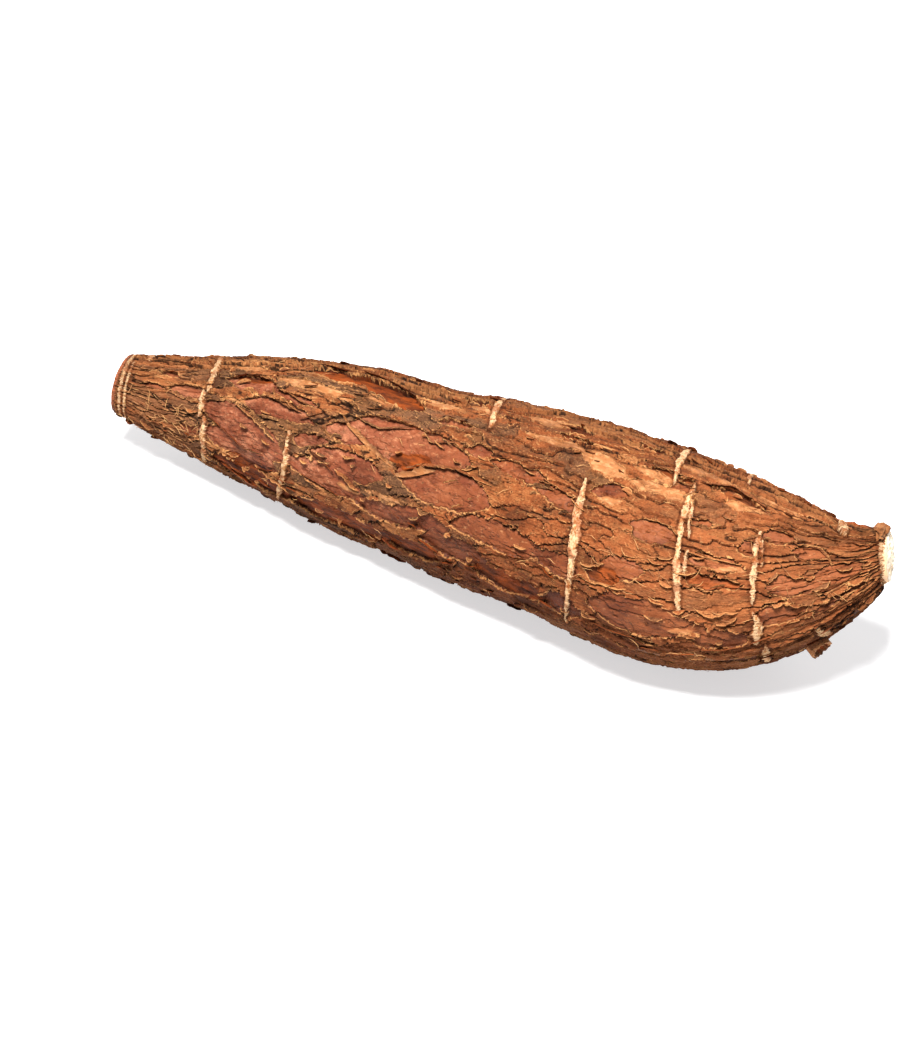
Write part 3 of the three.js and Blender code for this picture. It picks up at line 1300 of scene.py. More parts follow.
@dataclass
class BarkCurls:
    """All the loose curls, as one piece.

    Attributes:
        form: The smooth root.
        relief: The bark's relief, whose windows the small curls edge.
        large: The listed curls.
        seed: Picks another set of small curls.
        across: Divisions across a curl.
        step: Length of a curl's divisions, in millimetres.
        thickness: The bark's thickness, in millimetres.
        loose: Number of short bits of bark that stand up all over the root.
    """

    form: RootForm
    relief: BarkRelief
    large: tuple[Curl, ...] = LARGE_CURLS
    seed: int = 23
    across: int = 5
    step: float = 0.8
    thickness: float = 0.34
    loose: int = 430

    def along_windows(self) -> list[Curl]:
        """Small curls along the edges of the windows."""
        draw = np.random.default_rng(self.seed)
        found = []
        for peel in (*self.relief.peels, *self.relief.scatter.strew(self.form.length)):
            if peel.layer is Layer.TAN:
                continue
            for side in (1, -1):
                for _ in range(int(draw.integers(0, 3))):
                    middle = draw.uniform(-0.75, 0.75)
                    half = draw.uniform(0.12, 0.4)
                    outline = np.linspace(max(middle - half, -0.97), min(middle + half, 0.97), 7)
                    along = peel.along + outline * peel.reach
                    reach = peel.spread * (1 - np.abs(outline) ** 2.2)
                    around = peel.around - side * (reach + 1.2) + peel.slope * outline * peel.reach
                    grain = self.form.grain(along, np.radians(around))
                    drift, climb = self.relief.bend(grain)
                    line = tuple(zip((along - drift).tolist(), (around - climb).tolist()))
                    width = draw.uniform(0.8, 1.9)
                    found.append(Curl(line, width, side, draw.uniform(0.6, 1.7), draw.uniform()))
        return found

    def shreds(self) -> list[Curl]:
        """Short bits of bark that stand up all over the root."""
        draw = np.random.default_rng(self.seed + 1)
        found = []
        for _ in range(self.loose):
            along = draw.uniform(4, self.form.length - 4)
            around = draw.uniform(0, 360)
            length, slant = draw.uniform(1.6, 6.5), draw.uniform(-0.8, 0.8)
            line = tuple((along + share * length, around + slant * share * length) for share in (0, 0.5, 1))
            width, side = draw.uniform(0.7, 1.9), int(draw.choice([-1, 1]))
            found.append(Curl(line, width, side, draw.uniform(0.6, 1.5), draw.uniform(), 0.3))
        return found

    def shape(self, curl: Curl, number: int) -> tuple[Array, Array, Array, Array, Array]:
        """One curl as a closed thin shell.

        Args:
            curl: The curl.
            number: Its number, which picks its ragged edge.

        Returns:
            Its points, faces, peel colours, bark colours and grain places.
        """
        line = np.array(curl.line)
        radius = float(self.form.mean_radius(self.form.share_at(line[:, 0].mean())))
        flat = np.stack([line[:, 0], np.radians(line[:, 1]) * radius], -1)
        lengths = np.concatenate([[0], np.cumsum(np.linalg.norm(np.diff(flat, axis=0), axis=1))])
        count = max(6, int(lengths[-1] / self.step) + 1)
        share = np.linspace(0, 1, count)
        spots = np.stack([np.interp(share * lengths[-1], lengths, flat[:, part]) for part in (0, 1)], -1)
        heading = np.gradient(spots, axis=0)
        heading /= np.linalg.norm(heading, axis=1, keepdims=True)
        sideways = np.stack([-heading[:, 1], heading[:, 0]], -1) * curl.side
        edge = (share * lengths[-1], np.full(count, number * 7.3), np.zeros(count))
        ragged = 0.8 + 0.45 * noise(edge, 1.6, 61) + 0.3 * noise(edge, 4.5, 62)
        width = curl.width * np.clip(1 - np.abs(2 * share - 1) ** 3, 0.02, 1) * np.clip(ragged, 0.25, 1.4)
        over = np.linspace(0, 1, self.across)
        angle = curl.roll * over
        lateral = width[:, None] * np.sin(angle) / curl.roll
        height = curl.lift - 0.3 * (1 - over) + width[:, None] * (1 - np.cos(angle)) / curl.roll
        crumpled = (edge[0][:, None] + over * 2, edge[1][:, None] + over, 0 * over)
        height = height + 0.1 * noise(crumpled, 1.2, 63)
        height = height - self.relief.sag(line[:, 0].mean(), line[:, 1].mean())
        along = np.clip(spots[:, :1] + sideways[:, :1] * lateral, 0.3, self.form.length - 0.3)
        around = (spots[:, 1:] + sideways[:, 1:] * lateral) / radius
        outward = self.form.outward(along, around)
        top = self.form.surface(along, around) + outward * height[..., None]
        thickness = self.thickness * (1 - 0.5 * over)[:, None]
        under = top - outward * thickness
        points = np.stack([top, under])
        points[..., 2] = np.maximum(points[..., 2], CLEARANCE)
        shape = points.shape[:3]
        number_of = np.arange(math.prod(shape)).reshape(shape)
        left = curl.side > 0
        faces = [quads(number_of[0], flipped=left), quads(number_of[1], flipped=not left)]
        ends, sides = (number_of[:, 0], number_of[:, -1]), (number_of[:, :, -1], number_of[:, :, 0])
        for first, last in (ends, sides):
            faces += [quads(first, flipped=not left), quads(last, flipped=left)]
        from_edge = (over - 1)[None, :] * width[:, None]
        peel = np.zeros((*shape, 4))
        peel[0, ..., 0] = 0.5 + from_edge / EDGE_SPAN
        peel[1, ..., :2] = (0.9, 0.7)
        peel[..., 3] = 1
        if curl.pale:
            peel[0, ..., 0] = np.where(over < 0.8, 0.9, peel[0, ..., 0])
            peel[0, ..., 2] = 0.8
        bark = np.broadcast_to([curl.tone, 1.0, 1.0, (curl.tone * 7.7) % 1], (*shape, 4))
        grain = np.stack([np.stack(self.form.grain(along, around), -1) * MM] * 2)
        values = (array.reshape(-1, array.shape[-1]) for array in (peel, bark, grain))
        return points.reshape(-1, 3), np.vstack(faces), *values

    def build(self, material: bpy.types.Material) -> None:
        """Makes all the curls as one piece."""
        curls = [*self.large, *self.along_windows(), *self.shreds()]
        shells = [self.shape(curl, number) for number, curl in enumerate(curls)]
        points, faces, *columns = joined(shells)
        values = dict(zip(("peel", "bark", "grain"), columns))
        made = mesh_object("bark_curls", points, faces, material, values)
        face_outwards(made)
        smooth(made, 60)
        settle(made)


@dataclass(frozen=True)
class Fuzz:
    """A patch of loose fibres.

    Attributes:
        start: Where it starts along the root, in millimetres.
        end: Where it ends.
        low: Its lowest direction around the root, in degrees.
        high: Its highest direction.
        count: Number of fibres.
        length: Mean length of a fibre, in millimetres.
        wander: How fast a fibre turns.
        lean: Which way fibres mostly run: 0 along the root, and a quarter turn around it.
    """

    start: float
    end: float
    low: float
    high: float
    count: int
    length: float
    wander: float = 0.5
    lean: float = 0.0


@dataclass
class Fibres:
    """Fine golden fibres that lie on the bark, as one piece.

    Attributes:
        form: The smooth root.
        patches: Where the fibres lie.
        seed: Picks another set.
        thick: A fibre's radius, in millimetres.
        step: Length of a fibre's divisions, in millimetres.
        sides: Its sides.
    """

    form: RootForm
    patches: tuple[Fuzz, ...] = (
        Fuzz(7, 40, 136, 205, 64, 2.6, 0.8, 0.6),
        Fuzz(6, 300, 0, 360, 80, 4, 0.5),
        Fuzz(212, 240, 135, 165, 16, 4, 0.7),
        Fuzz(240, 268, 140, 172, 8, 6, 0.5),
        Fuzz(268, 292, 112, 186, 8, 8, 0.25, 1.5),
        Fuzz(225, 262, 175, 205, 8, 6, 0.5, 1.2),
        Fuzz(50, 130, 170, 200, 14, 5, 0.7),
    )
    seed: int = 31
    thick: float = 0.1
    step: float = 1.0
    sides: int = 4

    def walk(self, patch: Fuzz, draw: np.random.Generator) -> Array:
        """One fibre's line over the smooth root, in millimetres.

        Args:
            patch: The patch it belongs to.
            draw: Where its random numbers come from.

        Returns:
            The points of the line.
        """
        count = max(5, int(patch.length * draw.uniform(0.5, 1.6) / self.step))
        heading = patch.lean + draw.normal(0, 0.35) + (math.pi if draw.uniform() < 0.5 else 0)
        turns = np.cumsum(draw.normal(0, patch.wander * 0.5, count)) + heading
        along = draw.uniform(patch.start, patch.end) + np.cumsum(np.cos(turns)) * self.step
        along = np.clip(along, 1, self.form.length - 1)
        radius = self.form.mean_radius(self.form.share_at(along))
        around = math.radians(draw.uniform(patch.low, patch.high))
        around = around + np.cumsum(np.sin(turns) * self.step / radius)
        height = 0.15 + 0.35 * np.abs(np.sin(np.linspace(0, draw.uniform(1, 3) * math.pi, count)))
        height = height + draw.uniform(0, 1.2) * np.linspace(0, 1, count) ** 4
        return self.form.surface(along, around) + self.form.outward(along, around) * height[:, None]

    def tube(self, line: Array) -> tuple[Array, Array]:
        """A thin closed tube along a line, as points and faces.

        Args:
            line: The points of the line, in millimetres.

        Returns:
            The tube's points and faces.
        """
        tangent = np.gradient(line, axis=0)
        tangent /= np.linalg.norm(tangent, axis=1, keepdims=True)
        side = np.cross(tangent, [0.31, 0.22, 0.93])
        side /= np.linalg.norm(side, axis=1, keepdims=True)
        up = np.cross(tangent, side)
        turn = np.arange(self.sides) * 2 * np.pi / self.sides
        taper = self.thick * np.sqrt(np.clip(1 - np.abs(np.linspace(-1, 1, len(line))) ** 3, 0.05, 1))
        ring = np.cos(turn)[:, None] * side[:, None] + np.sin(turn)[:, None] * up[:, None]
        points = line[:, None] + taper[:, None, None] * ring
        number = np.arange(points[..., 0].size).reshape(points.shape[:2])
        return points.reshape(-1, 3), np.vstack([quads(number, closed=True), number[0][::-1], number[-1]])

    def build(self, material: bpy.types.Material) -> None:
        """Makes all the fibres as one piece."""
        draw = np.random.default_rng(self.seed)
        lines = [self.walk(patch, draw) for patch in self.patches for _ in range(patch.count)]
        points, faces = joined([self.tube(line) for line in lines])
        points[:, 2] = np.maximum(points[:, 2], CLEARANCE)
        made = mesh_object("fibres", points, faces, material, {})
        face_outwards(made)
        smooth(made, 60)
        settle(made)


@dataclass
class EndFace:
    """The flesh that shows where the root was cut or snapped.

    Attributes:
        form: The smooth root.
        name: The piece's name.
        at_tail: Whether it closes the tail, and not the neck.
        share: Its radius as a share of the root's.
        crown: How far its middle stands out, in millimetres.
        torn: How rough it is, in millimetres.
        proud: How far its rim stands out of the bark's end, in millimetres.
        depth: How far its back lies inside the root, in millimetres.
        rings: Divisions from its middle to its rim.
        columns: Divisions around it.
    """

    form: RootForm
    name: str
    at_tail: bool
    share: float = 0.93
    crown: float = 0.0
    torn: float = 0.08
    proud: float = 0.12
    depth: float = 1.5
    rings: int = 26
    columns: int = 120

    def build(self, material: bpy.types.Material) -> None:
        """Makes the face as a closed disc."""
        along = self.form.length if self.at_tail else 0.0
        angle = np.arange(self.columns) * 2 * np.pi / self.columns
        rim = self.form.surface(np.full(self.columns, along), angle)
        centre = rim.mean(0)
        tangent = self.form.directions(np.array([1.0 if self.at_tail else 0.0]))[0][0]
        outward = tangent if self.at_tail else -tangent
        shares = np.concatenate([np.linspace(0.02, 1, self.rings), [1.0, 0.02]])
        sunk = np.concatenate([np.zeros(self.rings), [self.depth, self.depth]])
        spread, turned = np.meshgrid(shares, angle, indexing="ij")
        circle = (9 * np.cos(turned), 9 * np.sin(turned), 0 * spread)
        wobble = 1 + 0.03 * noise(circle, 4, 81) * (spread > 0.9)
        flat = centre + (rim - centre)[None] * (spread * wobble * self.share)[..., None]
        spots = tuple(np.moveaxis(flat, -1, 0))
        rise = self.proud + self.crown * (1 - spread**2)
        rise = rise + self.torn * (rough(spots, 2.6, 83) + 0.5 * rough(spots, 0.8, 84))
        rise = np.where(sunk[:, None] > 0, -sunk[:, None], rise)
        points = (flat + outward * rise[..., None]).reshape(-1, 3)
        number = np.arange(spread.size).reshape(spread.shape)
        sides = quads(number, closed=True, flipped=self.at_tail)
        caps = [
            fan(number[0], spread.size, flipped=not self.at_tail),
            fan(number[-1], spread.size + 1, flipped=self.at_tail),
        ]
        hubs = np.stack([points[number[0]].mean(0), points[number[-1]].mean(0)])
        colour = np.stack([spread, 0 * spread + self.at_tail, 0 * spread, 0 * spread + 1], -1).reshape(-1, 4)
        colour = np.vstack([colour, [[0, float(self.at_tail), 0, 1]] * 2])
        faces = np.vstack([sides, *caps])
        made = mesh_object(self.name, np.vstack([points, hubs]), faces, material, {"cut": colour})
        face_outwards(made)
        smooth(made, 50)
        settle(made)


@dataclass
class RootletStub:
    """The stub of a side rootlet, low on the tail, with its hollow broken end and cream collar.

    Attributes:
        form: The smooth root.
        base: Where its axis starts inside the root, as the stations are placed, in millimetres.
        direction: The way it grows.
        length: Its length, in millimetres.
        base_radius: Its radius where it leaves the root, in millimetres.
        tip_radius: Its radius at its broken end, in millimetres.
        slant: How much shorter it is on its open side, in millimetres.
        open_towards: The way its hollow end opens.
        lump_at: Where on the tail's rim the tan crumb stands, in degrees.
        crumbs: Number of crumbs in its collar.
        seed: Picks another collar.
    """

    form: RootForm
    base: tuple[float, float, float] = (281.0, -18.5, 30.0)
    direction: tuple[float, float, float] = (0.77, -0.24, -0.59)
    length: float = 13.0
    base_radius: float = 4.6
    tip_radius: float = 4.1
    slant: float = 3.0
    open_towards: tuple[float, float, float] = (0.55, -0.65, 0.5)
    lump_at: float = 84.0
    crumbs: int = 34
    seed: int = 41

    def placed(self) -> tuple[Vector, Vector]:
        """Its start in the shared frame in metres, and its unit direction."""
        start = Vector((np.array(self.base) - self.form.middle) * MM)
        return start, Vector(self.direction).normalized()

    @staticmethod
    def ball(radius: float, detail: int) -> tuple[bpy.types.Object, Array]:
        """A ball of a radius in millimetres to make a crumb of, and its vertices."""
        bpy.ops.object.select_all(action="DESELECT")
        bpy.ops.mesh.primitive_ico_sphere_add(subdivisions=detail, radius=radius * MM, location=(0, 0, 0))
        made = bpy.context.active_object
        return made, read_points(made)

    @staticmethod
    def put(piece: bpy.types.Object, points: Array, place: Matrix) -> None:
        """Gives a piece new vertices, in millimetres, and moves them to their place."""
        write_points(piece.data, points)
        piece.data.transform(place)

    @staticmethod
    def complete(
        piece: bpy.types.Object,
        name: str,
        slot: str,
        material: bpy.types.Material,
        peel: Array | tuple[float, ...],
        bark: tuple[float, ...] = (0.5, 1.0, 1.0, 0.5),
        angle: float = 50,
    ) -> None:
        """Names a small piece, dresses it and settles it.

        Args:
            piece: The piece.
            name: Its name.
            slot: Not used.
            material: Its material, the bark's finish.
            peel: What the finish reads as peel, once or for each vertex.
            bark: What the finish reads as bark.
            angle: The angle under which its faces are smoothed, in degrees.
        """
        piece.name = piece.data.name = name
        piece.data.materials.clear()
        piece.data.materials.append(material)
        places = read_points(piece) * MM
        size = (len(places), 4)
        values = {"peel": np.broadcast_to(peel, size), "bark": np.broadcast_to(bark, size), "grain": places}
        give(piece.data, values)
        smooth(piece, angle)
        settle(piece)

    def shaft(self, material: bpy.types.Material) -> None:
        """The stub's shaft: a tapered cylinder with a hollow end and a ridged side."""
        start, way = self.placed()
        middle = start + way * (self.length * 0.5 * MM)
        bpy.ops.object.select_all(action="DESELECT")
        bpy.ops.mesh.primitive_cone_add(
            vertices=36,
            radius1=self.base_radius * MM,
            radius2=self.tip_radius * MM,
            depth=self.length * MM,
            end_fill_type="NGON",
            location=(0, 0, 0),
        )
        stub = bpy.context.active_object
        bpy.ops.object.mode_set(mode="EDIT")
        bpy.ops.mesh.select_all(action="DESELECT")
        shape = bmesh.from_edit_mesh(stub.data)
        for face in shape.faces:
            face.select = face.normal.z > 0.9
        bmesh.update_edit_mesh(stub.data)
        for inwards, depth in ((0.9, 0), (0.3, -1.6), (0.8, -1.4), (0.6, 0.6)):
            bpy.ops.mesh.inset(thickness=inwards * MM, depth=depth * MM)
        bpy.ops.mesh.select_all(action="SELECT")
        bpy.ops.mesh.subdivide(number_cuts=3, smoothness=0)
        bpy.ops.object.mode_set(mode="OBJECT")
        points = read_points(stub)
        turn = np.arctan2(points[:, 1], points[:, 0])
        spots = (points[:, 2], 4 * np.cos(turn), 4 * np.sin(turn))
        reach = np.hypot(points[:, 0], points[:, 1])
        ridges = 0.55 * noise(spots, 1.4, 91, 4) + 0.25 * noise(spots, 0.7, 92, 2)
        points[:, :2] *= 1 + ridges[:, None] * np.minimum(reach, 3)[:, None] / 14
        points[:, 2] += np.where(points[:, 2] > self.length * 0.3, 0.8 * noise(spots, 1.3, 93), 0)
        turned = Vector((0, 0, 1)).rotation_difference(way).to_matrix().to_4x4()
        open_side = turned.to_3x3().inverted() @ Vector(self.open_towards)
        facing = (points[:, 0] * open_side.x + points[:, 1] * open_side.y) / self.tip_radius
        points[:, 2] -= ramp(points[:, 2], 0, self.length / 2) * self.slant * ramp(facing, -1.0, 1.0)
        self.put(stub, points, Matrix.Translation(middle) @ turned)
        spoke = np.hypot(points[:, 0], points[:, 1])
        within = (spoke < self.tip_radius - 1.1) & (points[:, 2] > -1)
        peel = np.where(within[:, None], [0.9, 1.0, 0.0, 1.0], [0.0, 0.0, 0.0, 1.0])
        torn = (points[:, 2] > self.length * 0.5 - self.slant - 1.5) & ~within & (facing > -0.2)
        peel = np.where(torn[:, None], [0.9, 0.0, 0.8, 1.0], peel)
        self.complete(stub, "rootlet_stub", "bark", material, peel, (0.45, 1.0, 1.0, 0.4), 45)

    def lump(self, material: bpy.types.Material) -> None:
        """The tan crumb of torn bark that stands on the rim of the snapped tail."""
        top = self.form.surface(np.array([self.form.length - 1.4]), np.radians([self.lump_at]))[0]
        crumb, points = self.ball(2.8, 4)
        spots = tuple(points.T)
        points *= (1 + 0.6 * rough(spots, 2.6, 96) + 0.15 * noise(spots, 0.8, 97))[:, None] * [0.75, 1.3, 0.8]
        self.put(crumb, points, Matrix.Translation(Vector(top * MM)))
        self.complete(crumb, "tail_crumb", "inner_bark", material, (0.9, 0.0, 1.0, 1.0))

    def collar(self, material: bpy.types.Material) -> None:
        """The crumbly cream collar where the stub leaves the root."""
        start, way = self.placed()
        draw = np.random.default_rng(self.seed)
        side = way.orthogonal().normalized()
        across = way.cross(side)
        crumbs = []
        for _ in range(self.crumbs):
            turn = draw.uniform(0, 2 * math.pi)
            place = start + way * (draw.uniform(3.4, 6.6) * MM)
            reach = (self.base_radius + draw.uniform(0.0, 1.6)) * MM
            place = place + (side * math.cos(turn) + across * math.sin(turn)) * reach
            crumb, points = self.ball(draw.uniform(0.9, 2.0), 2)
            spots = tuple(points.T + draw.uniform(0, 50))
            lumpy = (1 + 0.5 * noise(spots, 0.9, 95))[:, None]
            points *= lumpy * draw.uniform([0.7, 0.5, 0.4], [1.3, 1, 0.8])
            self.put(crumb, points, Matrix.Translation(place))
            crumbs.append(crumb)
        choose(crumbs[0])
        for crumb in crumbs:
            crumb.select_set(True)
        bpy.ops.object.join()
        self.complete(crumbs[0], "rootlet_collar", "scar", material, (0.0, 0.0, 0.0, 0.2))


# ---------------------------------------------------------------------------------------------------
# Finishes
# ---------------------------------------------------------------------------------------------------


class Value:
    """A number that varies over a surface: a socket that can be written in expressions."""

    def __init__(self, shader: "Shader", socket: bpy.types.NodeSocket) -> None:
        """Wraps a socket of a shader."""
        self.shader = shader
        self.socket = socket

    def _math(self, operation: str, *values: "Value | float") -> "Value":
        """Adds one Math node."""
        return self.shader.node("ShaderNodeMath", {"operation": operation}, dict(enumerate(values)))

    def __add__(self, other: "Value | float") -> "Value":
        """The sum."""
        return self._math("ADD", self, other)

    __radd__ = __add__

    def __sub__(self, other: "Value | float") -> "Value":
        """The difference."""
        return self._math("SUBTRACT", self, other)

    def __rsub__(self, other: float) -> "Value":
        """The difference from a number."""
        return self._math("SUBTRACT", other, self)

    def __mul__(self, other: "Value | float") -> "Value":
        """The product."""
        return self._math("MULTIPLY", self, other)

    __rmul__ = __mul__

    def __abs__(self) -> "Value":
        """The size without its sign."""
        return self._math("ABSOLUTE", self)

    def __or__(self, other: "Value | float") -> "Value":
        """The larger of two."""
        return self._math("MAXIMUM", self, other)

    def step(self, low: float, high: float) -> "Value":
        """A smooth step from 0 at low to 1 at high."""
        return self.shader.node(
            "ShaderNodeMapRange",
            {"interpolation_type": "SMOOTHSTEP", "clamp": True},
            {"Value": self, "From Min": low, "From Max": high, "To Min": 0.0, "To Max": 1.0},
        )


class Shader:
    """A material's node tree, built one node at a time."""

    def __init__(self, name: str) -> None:
        """Makes an empty material with a Principled shader.

        Args:
            name: The material's name.
        """
        self.material = bpy.data.materials.new(name)
        self.material.use_nodes = True
        self.tree = self.material.node_tree
        self.tree.nodes.clear()
        self.output = self.tree.nodes.new("ShaderNodeOutputMaterial")
        self.surface = self.tree.nodes.new("ShaderNodeBsdfPrincipled")
        self.tree.links.new(self.surface.outputs[0], self.output.inputs["Surface"])

    def fill(self, socket: bpy.types.NodeSocket, value: "Value | float | Colour") -> None:
        """Links a value to a socket, or sets it there."""
        if isinstance(value, Value):
            self.tree.links.new(value.socket, socket)
        elif isinstance(value, tuple) and socket.type == "RGBA":
            socket.default_value = (*value, 1.0)
        else:
            socket.default_value = value

    def node(
        self, kind: str, settings: dict[str, object], inputs: dict[str | int, object], output: str | int = 0
    ) -> Value:
        """Adds a node.

        Args:
            kind: The node's type.
            settings: Its settings, which are set first.
            inputs: Values or links for its sockets, by identifier, name or number.
            output: The output that is wanted.

        Returns:
            The node's output.
        """
        made = self.tree.nodes.new(kind)
        for key, value in settings.items():
            setattr(made, key, value)
        for key, value in inputs.items():
            found = [s for s in made.inputs if s.identifier == key] if isinstance(key, str) else []
            self.fill(found[0] if found else made.inputs[key], value)
        found = [s for s in made.outputs if s.identifier == output] if isinstance(output, str) else []
        return Value(self, found[0] if found else made.outputs[output])

    def attribute(self, name: str, output: str) -> Value:
        """One output of an attribute of the mesh."""
        return self.node("ShaderNodeAttribute", {"attribute_name": name}, {}, output)

    def channels(self, name: str) -> tuple[Value, Value, Value, Value]:
        """The four channels of a colour attribute."""
        colour = self.attribute(name, "Color")
        parts = self.tree.nodes.new("ShaderNodeSeparateColor")
        self.fill(parts.inputs[0], colour)
        red, green, blue = (Value(self, parts.outputs[part]) for part in range(3))
        return red, green, blue, self.attribute(name, "Alpha")

    def mix(
        self, share: Value | float, first: Value | Colour, second: Value | Colour, blend: str = "MIX"
    ) -> Value:
        """Two colours mixed by a share.

        Args:
            share: How much of the second colour there is.
            first: The first colour.
            second: The second colour.
            blend: How they are blended.

        Returns:
            The mixed colour.
        """
        return self.node(
            "ShaderNodeMix",
            {"data_type": "RGBA", "blend_type": blend, "clamp_factor": True},
            {"Factor_Float": share, "A_Color": first, "B_Color": second},
            "Result_Color",
        )

    def coats(self, colour: Value, *coats: tuple[Value, Value | Colour]) -> Value:
        """A colour with further ones mixed over it in turn.

        Args:
            colour: The colour underneath.
            coats: The colours over it, each as its share and its colour.

        Returns:
            The mixed colour.
        """
        for share, coat in coats:
            colour = self.mix(share, colour, coat)
        return colour

    def stretched(self, places: Value, stretch: Colour) -> Value:
        """Places pulled by a factor in each direction."""
        return self.node("ShaderNodeVectorMath", {"operation": "MULTIPLY"}, {0: places, 1: stretch})

    def part(self, places: Value, number: int) -> Value:
        """One part of places in metres: 0 along the root, 1 level across it and 2 upwards."""
        return self.node("ShaderNodeSeparateXYZ", {}, {0: places}, number)

    def own_places(self) -> Value:
        """Places on the piece itself, in metres."""
        return self.node("ShaderNodeTexCoord", {}, {}, "Object")

    def noise(
        self,
        places: Value,
        scale: float,
        detail: float = 3.0,
        rough: float = 0.55,
        longer: float = 1.0,
        bend: float = 0.0,
    ) -> Value:
        """Noise from 0 to 1.

        Args:
            places: Where it is read.
            scale: Features in each metre.
            detail: How many finer layers it has.
            rough: How strong the finer layers are.
            longer: How many times longer its features are along the root than across it.
            bend: How far it is warped.

        Returns:
            The noise.
        """
        if longer != 1.0:
            places = self.stretched(places, (1.0, longer, longer))
        return self.node(
            "ShaderNodeTexNoise",
            {"noise_dimensions": "3D"},
            {"Vector": places, "Scale": scale, "Detail": detail, "Roughness": rough, "Distortion": bend},
        )

    def cells(self, places: Value, scale: float, feature: str = "F1") -> Value:
        """Distances in a Voronoi pattern, with scale cells in each metre."""
        return self.node(
            "ShaderNodeTexVoronoi", {"feature": feature}, {"Vector": places, "Scale": scale}, "Distance"
        )

    def finish(self, colour: Value, roughness: Value, height: Value, depth: float, specular: float) -> None:
        """Feeds the Principled shader.

        Args:
            colour: The base colour.
            roughness: The roughness.
            height: The fine relief, from 0 to 1.
            depth: How deep the fine relief is, in metres.
            specular: The specular level.
        """
        self.fill(self.surface.inputs["Base Color"], colour)
        self.fill(self.surface.inputs["Roughness"], roughness)
        self.fill(self.surface.inputs["Specular IOR Level"], specular)
        bump = self.node("ShaderNodeBump", {}, {"Strength": 1.0, "Distance": depth, "Height": height})
        self.fill(self.surface.inputs["Normal"], bump)


